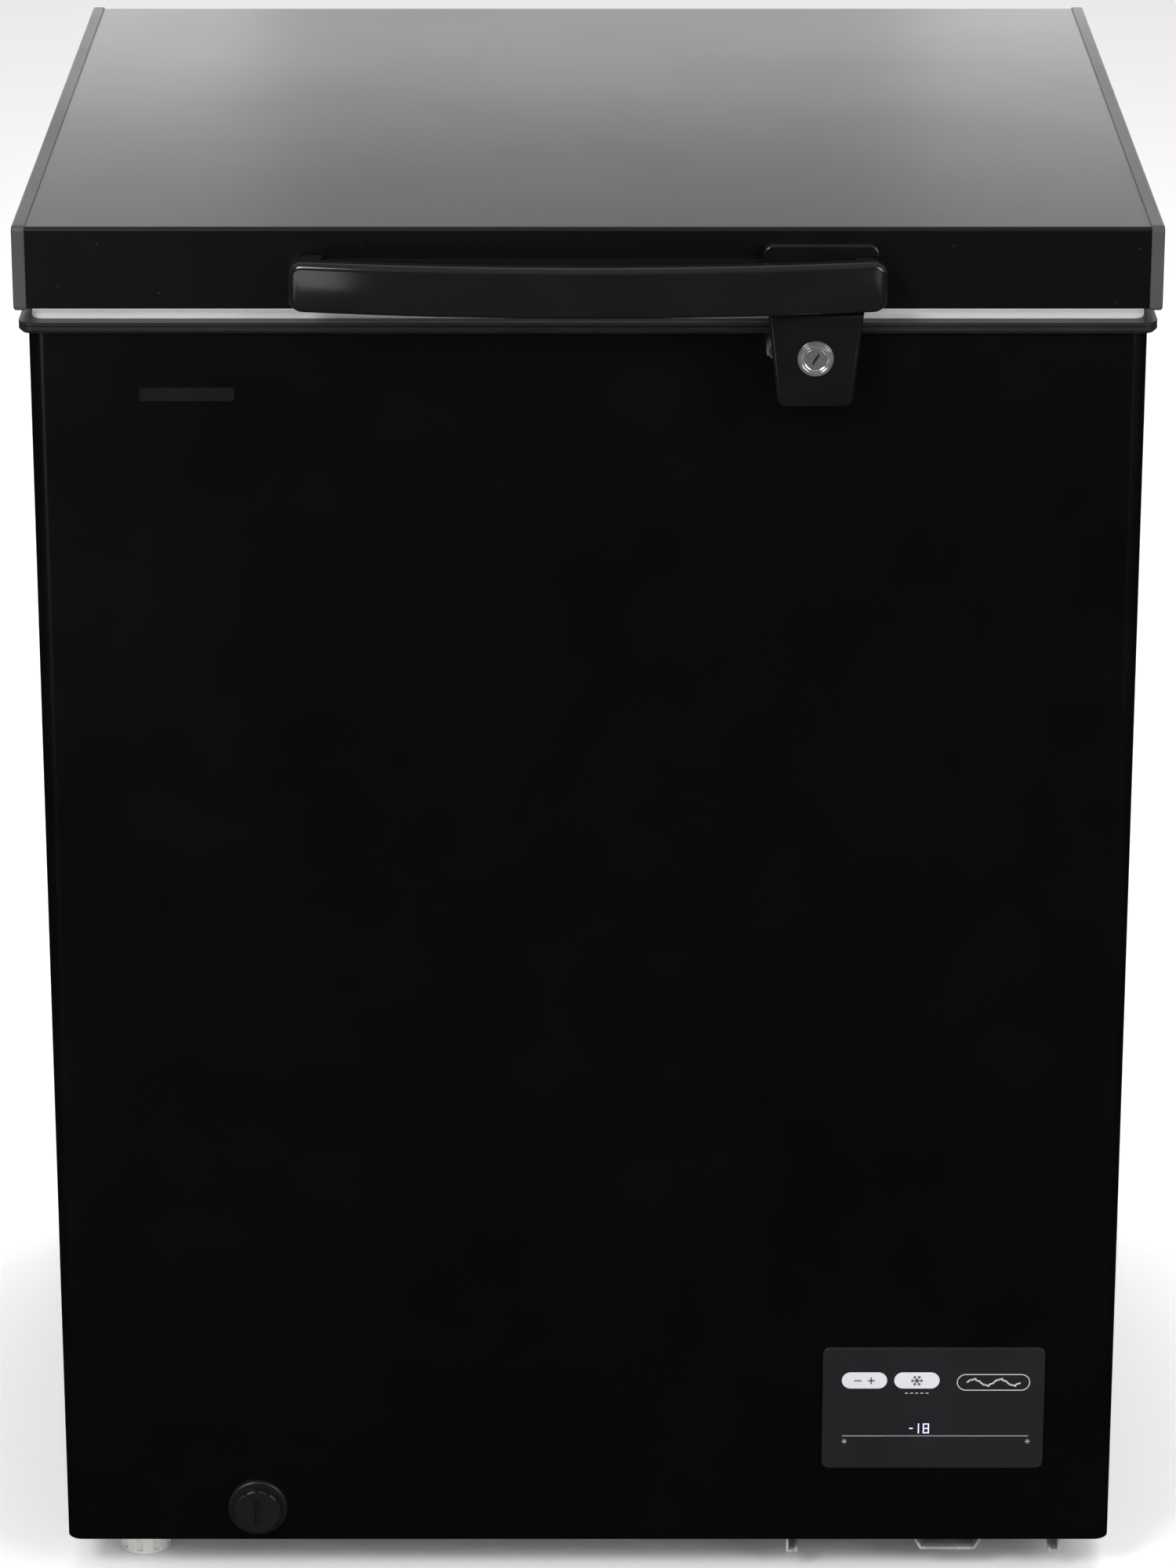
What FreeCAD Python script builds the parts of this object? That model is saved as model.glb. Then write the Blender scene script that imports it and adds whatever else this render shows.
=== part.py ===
import FreeCAD, Part
import math
import os

# Compact chest freezer, modelled closed and standing on its feet.
# Millimetres. Origin on the floor, under the middle of the outline. +Z up, -Y front, +X right.

V = FreeCAD.Vector

# ---------------------------------------------------------------- driving dimensions
cabinet_width = 632.0
cabinet_depth = 540.0
cabinet_height = 762.0
foot_height = 25.0
insulation = 60.0
sheet = 0.8
cabinet_corner = 9.0

collar_height = 6.7
collar_overhang = 5.0
collar_corner = 8.0
collar_chamfer = 2.0
collar_groove = 1.0
collar_lip = 15.0
ledge_width = 12.0
ledge_drop = 9.0
lip_wall = 2.0

gasket_height = 8.3
gasket_width = 22.0
gasket_side_inset = 1.6
gasket_front_inset = 8.7

lid_height = 47.0
lid_side_overhang = 7.0
lid_rear_overhang = 10.0
lid_edge_radius = 2.5
lid_flange = 12.0
lid_liner_wall = 1.3
lid_plug_drop = 6.0
lid_plug_margin = 8.0
cap_thickness = 7.4
cap_proud = 1.0
cap_drop = 1.5
cap_corner = 3.5
cap_edge = 1.6

handle_length = 336.0
handle_height = 29.0
handle_projection = 35.0
handle_end_projection = 20.0
handle_thickness = 9.0
handle_post = 17.0
handle_corner = 8.0
handle_edge = 2.2
handle_base_margin = 3.0
handle_base_thickness = 3.0
handle_z_in_lid = 3.0

lock_x = 127.5
lock_drop = 23.6
tab_top_width = 53.7
tab_bottom_width = 42.0
tab_drop = 52.0
tab_projection = 20.0
tab_gap = 6.0
tab_corner = 5.0
lock_pad_width = 65.4
lock_pad_rise = 38.6
lock_pad_projection = 7.0
lock_pad_shift = 3.2
lock_pad_corner = 6.0
bezel_radius = 10.3
bezel_proud = 2.0
plug_radius = 6.0
running_fit = 0.05
key_slot = (7.0, 1.5, 5.0)
key_slot_tilt = 30.0
cam_length = 24.0
cam_width = 9.0
cam_thickness = 2.5
cam_gap = 0.6
cam_bore = 4.0
keeper_reach = 27.1
keeper_width = 21.5
keeper_height = 15.5
keeper_base = 3.2
keeper_wall = 1.6
keeper_drop = 0.5
keeper_gap = 0.4
keeper_open_below = 2.4

badge_size = (54.0, 8.0, 1.2)
badge_left = -254.0
badge_drop = 32.5

compartment_width = 220.0
compartment_height = 245.0
step_cover = 50.0
liner_corner = 25.0

evaporator_radius = 4.0
evaporator_pitch = 62.0
evaporator_band = 9.0
evaporator_side_band = 20.0
condenser_radius = 2.4
condenser_pitch = 62.0
condenser_band = 6.0
condenser_bend = 14.0
pipe_seat = 0.1
coil_margin = 24.0
band_margin = 8.0
pipe_end_drop = 30.0
evaporator_entry = 10.0
evaporator_spacing = 25.0
condenser_entry = 84.0
condenser_spacing = 30.0
condenser_band_end = 40.0
pipe_hole_gap = 0.3
sensor_radius = 3.0
sensor_length = 26.0

panel_inset = 41.5
panel_bottom = 74.0
panel_width = 133.5
panel_height = 80.0
panel_proud = 2.0
panel_corner = 4.5
panel_box_margin = 5.0
panel_box_depth = 20.0
panel_box_wall = 2.0
key_width = 27.3
key_height = 10.7
key_bottom = 53.4
key_lefts = (11.5, 43.0)
key_gap = 0.15
key_proud = 0.4
key_travel = 0.6
key_flange = 1.0
digits_left = 51.8
digits_bottom = 23.5
digit_height = 6.5
digit_width = 3.7
digit_pitch = 4.5
digit_bar = 0.65
digit_depth = 0.4
board_size = (108.0, 54.0, 1.6)
switch_width = 7.0

drain_inset = 116.0
drain_z = 47.0
drain_sump_y_in = 116.0
drain_bore = 8.0
drain_wall = 2.0
drain_tube_fit = 0.08
drain_tube_wall = 2.4
drain_flange_radius = 18.0
drain_flange = 3.0
drain_cap_radius = 14.25
drain_cap_proud = 5.0
drain_cap_gap = 0.3
drain_flutes = 12
sump_bore = 9.0
sump_wall = 4.0
plug_head_radius = 14.0
plug_head = 4.0
plug_spigot = 14.0

foot_radius = 15.5
foot_lobes = 9
foot_flute = 2.2
foot_left_x = 44.0
foot_front_y = 40.5
foot_front_right_y = 78.0
foot_rear_y = 40.0
foot_chamfer = 1.2
foot_skirt = 3.0
stud_radius = 4.0
stud_end = 2.0
stud_clearance = 0.5
nut_across = 13.0
nut_height = 6.5
nut_pocket = 11.0
nut_pocket_room = 3.0

tray_sheet = 1.5
tray_inset = 28.6
tray_width = 166.9
tray_drop = 12.0
tray_hook = 7.0
rib_inset = 76.5
rib_width = 41.5
rib_depth = 10.2
rib_slope = 5.0
tray_end_margin = 6.0
tray_lip = 3.0
base_window_margin = 42.0
base_window_lap = 5.0

compressor_radius = 60.0
compressor_body = 138.0
compressor_y_from_rear = 144.0
compressor_plate = (150.0, 122.0, 3.0)
grommet_spacing = (110.0, 92.0)
grommet_radius = 9.0
grommet_height = 12.0
grommet_bolt = 3.0

hinge_inset = 111.0
hinge_projection = 22.0
hinge_pivot_back = 8.0
hinge_pivot_drop = 12.0
hinge_width = 52.0
hinge_sheet = 2.0
hinge_length = 92.0
hinge_pin_radius = 3.0
hinge_knuckle = 5.5
hinge_leaf_width = 42.0
hinge_leaf_rise = 42.0
hinge_screw_inset = 9.0
bracket_screw_high = 22.0
bracket_screw_low = 14.0
leaf_screw_rises = (16.0, 31.0)
spring_radius = 9.0
spring_wire = 2.2
spring_length = 54.0
screw_head = 4.2
screw_head_height = 1.8
screw_shank = 2.0
screw_clearance = 0.2
hole_clearance = 0.2

rear_cover_lap = 8.0
rear_cover_sheet = 1.2
rear_opening_margin = 24.0
grille_width = 220.0
grille_height = 150.0
grille_bottom = 72.0
grille_sheet = 1.6
grille_lap = 7.0
slot_width = 5.0
slot_pitch = 11.0
gland_radius = 6.0
gland_bore = 3.6
gland_flange = 9.0
gland_inset_x = 18.0
gland_inset_z = 16.0

basket_width = 190.0
basket_drop = 226.0
basket_wall = 3.0
basket_gap = 5.0
basket_side_gap = 11.0
basket_rail = 4.0
basket_lap_gap = 2.5
basket_cell = 24.0
basket_bar = 5.0
slide_gap = 0.2

# ---------------------------------------------------------------- derived planes
half_width = cabinet_width / 2
lid_depth = collar_overhang + cabinet_depth + lid_rear_overhang
lid_front = handle_projection - (handle_projection + lid_depth + hinge_projection) / 2
lid_rear = lid_front + lid_depth
front = lid_front + collar_overhang
rear = front + cabinet_depth
base_z = foot_height
cabinet_top = base_z + cabinet_height
collar_top = cabinet_top + collar_height
lid_bottom = collar_top + gasket_height
lid_top = lid_bottom + lid_height
lid_half = half_width + lid_side_overhang
lid_sheet_half = lid_half - cap_thickness

inside_half = half_width - sheet
inside_front = front + sheet
inside_rear = rear - sheet
well_half = half_width - insulation
well_front = front + insulation
well_rear = rear - insulation
well_floor = base_z + insulation
compartment_left = half_width - compartment_width - sheet
compartment_top = base_z + compartment_height
step_top = compartment_top + step_cover
step_left = compartment_left - step_cover

ledge_z = collar_top - ledge_drop
pivot_y = lid_rear + hinge_pivot_back
pivot_z = lid_bottom - hinge_pivot_drop
lock_z = lid_bottom - lock_drop
lock_plane = lid_front - tab_gap
evaporator_bend = liner_corner + evaporator_radius + pipe_seat
evaporator_low = step_top + band_margin + evaporator_bend + evaporator_radius
panel_left = half_width - panel_inset - panel_width
drain_x = drain_inset - half_width
hinge_x = half_width - hinge_inset
tray_right = half_width - tray_inset
tray_left = tray_right - tray_width
rib_right = half_width - rib_inset
rib_left = rib_right - rib_width
tray_top = base_z
tray_middle = (rib_left + rib_right) / 2
compressor_x = (tray_left + tray_right) / 2
compressor_y = rear - compressor_y_from_rear


# ---------------------------------------------------------------- helpers
def block(x0, x1, y0, y1, z0, z1):
    return Part.makeBox(x1 - x0, y1 - y0, z1 - z0, V(x0, y0, z0))


def rod(start, axis, radius, length):
    return Part.makeCylinder(radius, length, V(*start), V(*axis))


def fillet_where(shape, radius, chosen):
    edges = [edge for edge in shape.Edges if chosen(edge)]
    return shape.makeFillet(radius, edges)


def runs_along(edge, axis):
    if len(edge.Vertexes) != 2:
        return False
    step = edge.Vertexes[1].Point - edge.Vertexes[0].Point
    return abs(abs(step.dot(V(*axis))) - edge.Length) < 1e-6 and edge.Length > 1e-6


def front_corner(edge):
    """The upright corners that the bent front sheet rounds."""
    return runs_along(edge, (0, 0, 1)) and edge.CenterOfMass.y < 0


def front_right_corner(edge):
    return front_corner(edge) and edge.CenterOfMass.x > half_width / 2


def closed_edges(shape):
    return [edge for edge in shape.Edges if edge.Closed]


def edges_in_front_of(shape, y):
    """The edges of the face that looks forward, in the plane y."""
    return [edge for edge in shape.Edges if edge.BoundBox.YMax < y + 1e-6]


def screw_hole(x, y, z, length):
    return rod((x, y, z), (0, 1, 0), screw_shank + screw_clearance, length)


def rounded_block(x0, x1, y0, y1, z0, z1, radius, axis):
    solid = block(x0, x1, y0, y1, z0, z1)
    return fillet_where(solid, radius, lambda edge: runs_along(edge, axis))


def prism(points, travel):
    """A closed outline of 3D points, pushed along travel."""
    corners = [V(*point) for point in points]
    face = Part.Face(Part.makePolygon(corners + corners[:1]))
    return face.extrude(V(*travel))


def offset_path(path, distance):
    """The same open 2D path moved sideways by distance, with mitred corners."""
    moved = []
    for i, (a, b) in enumerate(path):
        before = path[max(i - 1, 0)]
        after = path[min(i + 1, len(path) - 1)]
        normals = []
        for (p, q) in ((before, (a, b)), ((a, b), after)):
            length = math.hypot(q[0] - p[0], q[1] - p[1])
            if length > 0:
                normals.append(((p[1] - q[1]) / length, (q[0] - p[0]) / length))
        n = (sum(m[0] for m in normals), sum(m[1] for m in normals))
        scale = distance * len(normals) / (n[0] ** 2 + n[1] ** 2)
        moved.append((a + n[0] * scale, b + n[1] * scale))
    return moved


def bent_sheet(path, thickness, y0, y1):
    """Sheet bent along an open (x, z) path, running from y0 to y1."""
    outline = path + offset_path(path, thickness)[::-1]
    return prism([(x, y0, z) for x, z in outline], (0, y1 - y0, 0))


def pipe(points, radius, bend):
    """A round bar along straight runs joined by tangent arcs."""
    points = [V(*point) for point in points]
    edges = []
    here = points[0]
    for before, corner, after in zip(points, points[1:], points[2:]):
        back = (before - corner).normalize()
        on = (after - corner).normalize()
        half = back.getAngle(on) / 2
        reach = bend / math.tan(half)
        start = corner + back * reach
        end = corner + on * reach
        towards = (back + on).normalize()
        middle = corner + towards * (bend / math.sin(half) - bend)
        edges.append(Part.LineSegment(here, start).toShape())
        edges.append(Part.Arc(start, middle, end).toShape())
        here = end
    edges.append(Part.LineSegment(here, points[-1]).toShape())
    path = Part.Wire(edges)
    circle = Part.Wire(Part.makeCircle(radius, points[0], points[1] - points[0]))
    return path.makePipeShell([circle], True, False)


def screw(point, axis, shank):
    """A pan-head screw: point is under the head, axis points out of the work."""
    head = rod(point, axis, screw_head, screw_head_height)
    rim = [edge for edge in head.Edges if abs(edge.Length - 2 * math.pi * screw_head) < 0.1]
    outer = max(rim, key=lambda edge: edge.CenterOfMass.dot(V(*axis)))
    head = head.makeFillet(screw_head_height * 0.6, [outer])
    inward = tuple(-a for a in axis)
    return head.fuse(rod(point, inward, screw_shank, shank)).removeSplitter()


def slots_y(x0, x1, z0, z1, y0, y1):
    """Upright slots that pass through along Y."""
    count = int((x1 - x0 + slot_pitch - slot_width) // slot_pitch)
    first = (x0 + x1 - (count - 1) * slot_pitch - slot_width) / 2
    lefts = [first + i * slot_pitch for i in range(count)]
    return Part.Compound([block(x, x + slot_width, y0, y1, z0, z1) for x in lefts])


def slots_x(y0, y1, z0, z1, x0, x1):
    """Upright slots that pass through along X."""
    count = int((y1 - y0 + slot_pitch - slot_width) // slot_pitch)
    first = (y0 + y1 - (count - 1) * slot_pitch - slot_width) / 2
    fronts = [first + i * slot_pitch for i in range(count)]
    return Part.Compound([block(x0, x1, y, y + slot_width, z0, z1) for y in fronts])


# ---------------------------------------------------------------- shared places
def hinge_centres():
    return (-hinge_x, hinge_x)


def hinge_bracket_screws():
    """Four screws through each hinge bracket's back plate and the rear panel."""
    places = []
    for centre in hinge_centres():
        for side in (-1, 1):
            for drop in (bracket_screw_high, hinge_length - bracket_screw_low):
                x = centre + side * (hinge_width / 2 - hinge_screw_inset)
                places.append((x, rear + hinge_sheet, pivot_z - drop))
    return places


def hinge_leaf_screws():
    """Four screws through each hinge leaf into the lid's back."""
    places = []
    for centre in hinge_centres():
        for side in (-1, 1):
            for rise in leaf_screw_rises:
                x = centre + side * (hinge_leaf_width / 2 - hinge_screw_inset)
                places.append((x, lid_rear + hinge_sheet, lid_bottom + rise))
    return places


def rear_opening():
    x0 = compartment_left + rear_opening_margin
    x1 = half_width - rear_opening_margin
    z0 = base_z + rear_opening_margin - rear_cover_lap
    z1 = compartment_top - rear_opening_margin
    return x0, x1, z0, z1


def rear_cover_screws():
    x0, x1, z0, z1 = rear_opening()
    inset = rear_cover_lap / 2
    corners = [(x, z) for x in (x0 - inset, x1 + inset) for z in (z0 - inset, z1 + inset)]
    return [(x, rear + rear_cover_sheet, z) for x, z in corners]


def gland_place():
    x0, x1, z0, z1 = rear_opening()
    return x1 - gland_inset_x, z0 + gland_inset_z


def feet():
    """Name, x, y, then the underside and thickness of the sheet that the stud passes through."""
    left = -half_width + foot_left_x
    back = rear - foot_rear_y
    rib = tray_top - rib_depth
    return [
        ("foot_front_left", left, front + foot_front_y, base_z, sheet),
        ("foot_rear_left", left, back, base_z, sheet),
        ("foot_front_right", tray_middle, front + foot_front_right_y, rib, tray_sheet),
        ("foot_rear_right", tray_middle, back, rib, tray_sheet),
    ]


def grommet_places():
    half_x = grommet_spacing[0] / 2
    half_y = grommet_spacing[1] / 2
    return [(compressor_x + a * half_x, compressor_y + b * half_y) for a in (-1, 1) for b in (-1, 1)]


def sump_y():
    return front + drain_sump_y_in


def evaporator_route():
    """Up from the compartment, round the tub in level turns, and back down."""
    x = well_half + evaporator_radius + pipe_seat
    y_front = well_front - evaporator_radius - pipe_seat
    y_rear = well_rear + evaporator_radius + pipe_seat
    y_in = compressor_y - evaporator_entry
    y_out = y_in + evaporator_spacing
    z_end = compartment_top - pipe_end_drop
    low = evaporator_low
    high = ledge_z - collar_lip - coil_margin
    turns = int((high - low) // evaporator_pitch)
    points = [(x, y_in, z_end), (x, y_in, low)]
    for turn in range(turns):
        z = low + turn * evaporator_pitch
        points += [(x, y_rear, z), (-x, y_rear, z), (-x, y_front, z), (x, y_front, z)]
    drift = evaporator_radius * 2 + 2.0
    z = low + (turns - 1) * evaporator_pitch
    points += [(x + drift, y_out, z), (x + drift, y_out, z_end)]
    return points


def condenser_route():
    """Runs to and fro round both sides and the front, just inside the outer sheet."""
    x = inside_half - condenser_radius - pipe_seat
    y_front = inside_front + condenser_radius + pipe_seat
    y_in = rear - condenser_entry
    y_out = y_in + condenser_spacing
    z_end = compartment_top - pipe_end_drop
    low = step_top
    high = cabinet_top - coil_margin
    runs = int((high - low) // condenser_pitch)
    runs -= runs % 2
    points = [(x, y_in, z_end)]
    for run in range(runs):
        z = low + run * condenser_pitch
        sides = [(x, y_in), (x, y_front), (-x, y_front), (-x, y_in)]
        if run % 2:
            sides.reverse()
        if run == runs - 1:
            sides[-1] = (x, y_out)
        points += [(a, b, z) for a, b in sides]
    return points + [(x, y_out, z_end)]


# ---------------------------------------------------------------- cabinet shell
def outer_wrap():
    """Painted sheet bent round the front and both sides, open at the back."""
    shell = block(-half_width, half_width, front, rear, base_z, cabinet_top)
    shell = fillet_where(shell, cabinet_corner, front_corner)
    core = block(-inside_half, inside_half, inside_front, rear + 1, base_z - 1, cabinet_top + 1)
    core = fillet_where(core, cabinet_corner - sheet, front_corner)
    x0, x1, z0, z1 = panel_box_outline()
    gap = key_gap
    panel_hole = block(x0 - gap, x1 + gap, front - 1, front + 2, z0 - gap, z1 + gap)
    drain_hole = rod((drain_x, front - 1, drain_z), (0, 1, 0), drain_bore + drain_wall + hole_clearance, 3)
    y0, y1, z0, z1 = grille_opening()
    grille_hole = block(half_width - 2, half_width + 1, y0, y1, z0, z1)
    return shell.cut(core).cut([panel_hole, drain_hole, grille_hole])


def rear_panel():
    """Flat steel back, pierced for the hinges and for the compressor cover."""
    plate = block(-inside_half, inside_half, inside_rear, rear, base_z + sheet, cabinet_top)
    x0, x1, z0, z1 = rear_opening()
    holes = [block(x0, x1, inside_rear - 1, rear + 1, z0, z1)]
    for x, y, z in hinge_bracket_screws() + rear_cover_screws():
        holes.append(screw_hole(x, inside_rear - 1, z, 3))
    return plate.cut(holes)


def bottom_plate():
    """Base sheet under the foam, with a window over the compressor tray."""
    plate = block(-inside_half, inside_half, inside_front, rear, base_z, base_z + sheet)
    plate = fillet_where(plate, cabinet_corner - sheet, front_corner)
    window = block(
        tray_left + base_window_lap, tray_right - base_window_lap,
        front + base_window_margin, rear - base_window_margin, base_z - 1, base_z + 2)
    holes = [window]
    for name, x, y, level, thickness in feet():
        if level == base_z:
            holes.append(rod((x, y, base_z - 1), (0, 0, 1), stud_radius + stud_clearance, 3))
    return plate.cut(holes)


def compartment_shroud():
    """Sheet that walls the compressor compartment off from the foam."""
    y0, y1 = inside_front, inside_rear
    wall = block(compartment_left, compartment_left + sheet, y0, y1, base_z + sheet, compartment_top)
    roof = block(
        compartment_left, inside_half, y0, y1, compartment_top, compartment_top + sheet)
    roof = fillet_where(roof, cabinet_corner - sheet, front_right_corner)
    return wall.fuse(roof).removeSplitter().cut(pipe_holes())


def pipe_holes():
    """Clear holes where the four refrigerant pipes drop into the compartment."""
    holes = []
    z0 = compartment_top - 2
    for route, radius in ((evaporator_route(), evaporator_radius), (condenser_route(), condenser_radius)):
        for x, y, z in (route[0], route[-1]):
            holes.append(rod((x, y, z0), (0, 0, 1), radius + pipe_hole_gap, step_cover + 30))
    return holes


def well_form(grow, top):
    """The stepped storage well, grown outwards by the given amount."""
    x = well_half + grow
    tub = rounded_block(
        -x, x, well_front - grow, well_rear + grow, well_floor - grow, top,
        liner_corner + grow, (0, 0, 1))
    step = block(
        step_left + grow, x + 1, well_front - grow - 1, well_rear + grow + 1,
        well_floor - grow - 1, step_top - grow)
    return tub.cut(step)


def inner_liner():
    """Thin inner tub with its step over the compressor."""
    top = ledge_z - lip_wall
    shell = well_form(0, top).cut(well_form(-sheet, top + 1))
    return shell.cut(rod((drain_x, sump_y(), well_floor - 1), (0, 0, 1), sump_bore, 4))


def cabinet_foam():
    """Rigid foam between the sheets, with bands where the coils lie."""
    top = cabinet_top
    body = block(-inside_half, inside_half, inside_front, inside_rear, base_z + sheet, top)
    body = fillet_where(body, cabinet_corner - sheet, front_corner)
    room = block(
        compartment_left, half_width, front, rear, base_z, compartment_top + sheet)
    body = body.cut([room, well_form(0, top + 1)])

    band = condenser_band
    low = step_top - coil_margin
    high = cabinet_top - coil_margin
    ring = block(-half_width, half_width, front, rear - condenser_band_end, low, high)
    core_corner = condenser_bend - (band - condenser_radius - pipe_seat)
    ring = ring.cut(rounded_block(
        -inside_half + band, inside_half - band, inside_front + band, rear, low, high,
        core_corner, (0, 0, 1)))
    cuts = [ring]

    band = evaporator_band
    low = step_top + band_margin
    high = ledge_z - collar_lip - band_margin
    cuts.append(rounded_block(
        -well_half - band, well_half + evaporator_side_band, well_front - band, well_rear + band,
        low, high, liner_corner + band, (0, 0, 1)))

    rim = well_half + ledge_width + lip_wall
    cuts.append(block(
        -rim, rim, well_front - ledge_width - lip_wall, well_rear + ledge_width + lip_wall,
        ledge_z - lip_wall, top + 1))
    cuts += pipe_holes()
    cuts.append(drain_elbow_outside())
    for name, x, y, level, thickness in feet():
        if level == base_z:
            cuts.append(block(
                x - nut_pocket, x + nut_pocket, y - nut_pocket, y + nut_pocket,
                base_z, stud_top(level, thickness) + nut_pocket_room))
    return body.cut(cuts)


def top_collar():
    """Dark moulded frame over the cabinet's top edge, with the ledge the basket hangs on."""
    over = collar_overhang
    x = half_width + over
    ring = rounded_block(
        -x, x, front - over, rear + over, cabinet_top, collar_top, collar_corner, (0, 0, 1))
    under = [
        edge for edge in ring.Edges
        if abs(edge.BoundBox.ZMax - cabinet_top) < 1e-6 and abs(edge.BoundBox.ZMin - cabinet_top) < 1e-6]
    ring = ring.makeChamfer(collar_chamfer, under)
    groove_z = cabinet_top + collar_height * 0.62
    groove = rounded_block(
        -x - 1, x + 1, front - over - 1, rear + over + 1, groove_z, groove_z + collar_groove * 0.7,
        collar_corner + 1, (0, 0, 1))
    inner = rounded_block(
        -x + collar_groove, x - collar_groove, front - over + collar_groove, rear + over - collar_groove,
        groove_z - 1, groove_z + 2, collar_corner - collar_groove, (0, 0, 1))
    ring = ring.cut(groove.cut(inner))

    rim = ledge_width + lip_wall
    shelf = block(
        -well_half - rim, well_half + rim, well_front - rim, well_rear + rim,
        ledge_z - lip_wall, cabinet_top)
    w = ledge_width
    recess = block(
        -well_half - w, well_half + w, well_front - w, well_rear + w, ledge_z, collar_top + 1)
    s = sheet
    lip = rounded_block(
        -well_half + s, well_half - s, well_front + s, well_rear - s,
        ledge_z - collar_lip, ledge_z, liner_corner - s, (0, 0, 1))
    hole = rounded_block(
        -well_half + s + lip_wall, well_half - s - lip_wall,
        well_front + s + lip_wall, well_rear - s - lip_wall,
        ledge_z - collar_lip - 1, collar_top + 1, liner_corner - s - lip_wall, (0, 0, 1))
    return ring.fuse([shelf, lip]).cut([recess, hole]).removeSplitter()


def badge_bar():
    width, height, proud = badge_size
    z = cabinet_top - badge_drop
    return rounded_block(
        badge_left, badge_left + width, front - proud, front, z - height, z, 1.2, (0, 1, 0))


# ---------------------------------------------------------------- refrigeration
def evaporator_coil():
    return pipe(evaporator_route(), evaporator_radius, evaporator_bend)


def condenser_coil():
    return pipe(condenser_route(), condenser_radius, condenser_bend)


def temperature_sensor():
    z = evaporator_low + evaporator_pitch * 1.2
    x = well_half + sensor_radius + pipe_seat
    capsule = rod((x, well_front + 40, z), (0, 0, 1), sensor_radius, sensor_length)
    return capsule.makeFillet(sensor_radius / 3, closed_edges(capsule))


def compressor_tray():
    """Galvanised tray: hooked sides, flat shelves and a rib pressed down the middle."""
    top = tray_top
    low = top - rib_depth + tray_sheet
    path = [
        (tray_left + tray_hook, top - tray_drop + tray_lip),
        (tray_left + tray_hook, top - tray_drop),
        (tray_left, top - tray_drop),
        (tray_left, top),
        (rib_left, top),
        (rib_left + rib_slope, low),
        (rib_right - rib_slope, low),
        (rib_right, top),
        (tray_right, top),
        (tray_right, top - tray_drop),
        (tray_right - tray_hook, top - tray_drop),
        (tray_right - tray_hook, top - tray_drop + tray_lip),
    ]
    tray = bent_sheet(path, -tray_sheet, front + tray_end_margin, rear - tray_end_margin)
    holes = [rod((x, y, top - 5), (0, 0, 1), grommet_bolt, 10) for x, y in grommet_places()]
    for name, x, y, level, thickness in feet():
        if level != base_z:
            holes.append(rod((x, y, level - 3), (0, 0, 1), stud_radius + stud_clearance, 8))
    return tray.cut(holes)


def compressor_shell():
    """Welded two-half pot on its mounting plate, with three pipe stubs."""
    z0 = tray_top + grommet_height
    plate_x, plate_y, plate_z = compressor_plate
    plate = rounded_block(
        compressor_x - plate_x / 2, compressor_x + plate_x / 2,
        compressor_y - plate_y / 2, compressor_y + plate_y / 2, z0, z0 + plate_z, 12, (0, 0, 1))
    holes = [rod((x, y, z0 - 1), (0, 0, 1), grommet_bolt, plate_z + 2) for x, y in grommet_places()]
    plate = plate.cut(holes)
    pot = rod((compressor_x, compressor_y, z0 + plate_z), (0, 0, 1), compressor_radius, compressor_body)
    pot = pot.makeFillet(compressor_radius * 0.55, closed_edges(pot))
    seam_z = z0 + plate_z + compressor_body * 0.52
    seam = rod((compressor_x, compressor_y, seam_z), (0, 0, 1), compressor_radius + 3.5, 4)
    parts = [pot, seam]
    for angle, height in ((0.0, 110.0), (30.0, 62.0), (150.0, 62.0)):
        along = (math.cos(math.radians(angle)), math.sin(math.radians(angle)), 0)
        start = (
            compressor_x + along[0] * (compressor_radius - 8),
            compressor_y + along[1] * (compressor_radius - 8), z0 + height - 10)
        parts.append(rod(start, along, 4.0, 20.0))
    return plate.fuse(parts).removeSplitter()


def compressor_grommets():
    rings = []
    for x, y in grommet_places():
        ring = rod((x, y, tray_top), (0, 0, 1), grommet_radius, grommet_height)
        waist = rod((x, y, tray_top + 4.5), (0, 0, 1), grommet_radius + 1, 3)
        waist = waist.cut(rod((x, y, tray_top + 4), (0, 0, 1), grommet_radius - 1.5, 4))
        ring = ring.cut([waist, rod((x, y, tray_top - 1), (0, 0, 1), grommet_bolt, grommet_height + 2)])
        rings.append(ring)
    return Part.Compound(rings)


def grommet_bolts():
    bolts = []
    top = tray_top + grommet_height + compressor_plate[2]
    for x, y in grommet_places():
        shank = rod((x, y, tray_top - 3.5), (0, 0, 1), grommet_bolt, top - tray_top + 3.5)
        bolts.append(shank.fuse(hexagon(x, y, top, 10.0, 4.0)).removeSplitter())
    return Part.Compound(bolts)


def hexagon(x, y, z, across, height):
    radius = across / math.sqrt(3)
    corners = [
        (x + radius * math.cos(math.radians(60 * i)), y + radius * math.sin(math.radians(60 * i)), z)
        for i in range(6)]
    return prism(corners, (0, 0, height))


def terminal_cover():
    z0 = tray_top + grommet_height + compressor_plate[2] + 42
    y1 = compressor_y - compressor_radius * 0.8
    cover = rounded_block(
        compressor_x - 32, compressor_x + 32, y1 - 40, y1, z0, z0 + 62, 4, (0, 1, 0))
    room = rod((compressor_x, compressor_y, z0 - 1), (0, 0, 1), compressor_radius + 3.8, 64)
    return cover.cut(room)


def stub_end(angle, height, reach):
    """A point on a compressor stub's axis, reach beyond the stub's root."""
    along = (math.cos(math.radians(angle)), math.sin(math.radians(angle)))
    distance = compressor_radius - 8 + reach
    z0 = tray_top + grommet_height
    return (compressor_x + along[0] * distance, compressor_y + along[1] * distance, z0 + height - 10)


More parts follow.
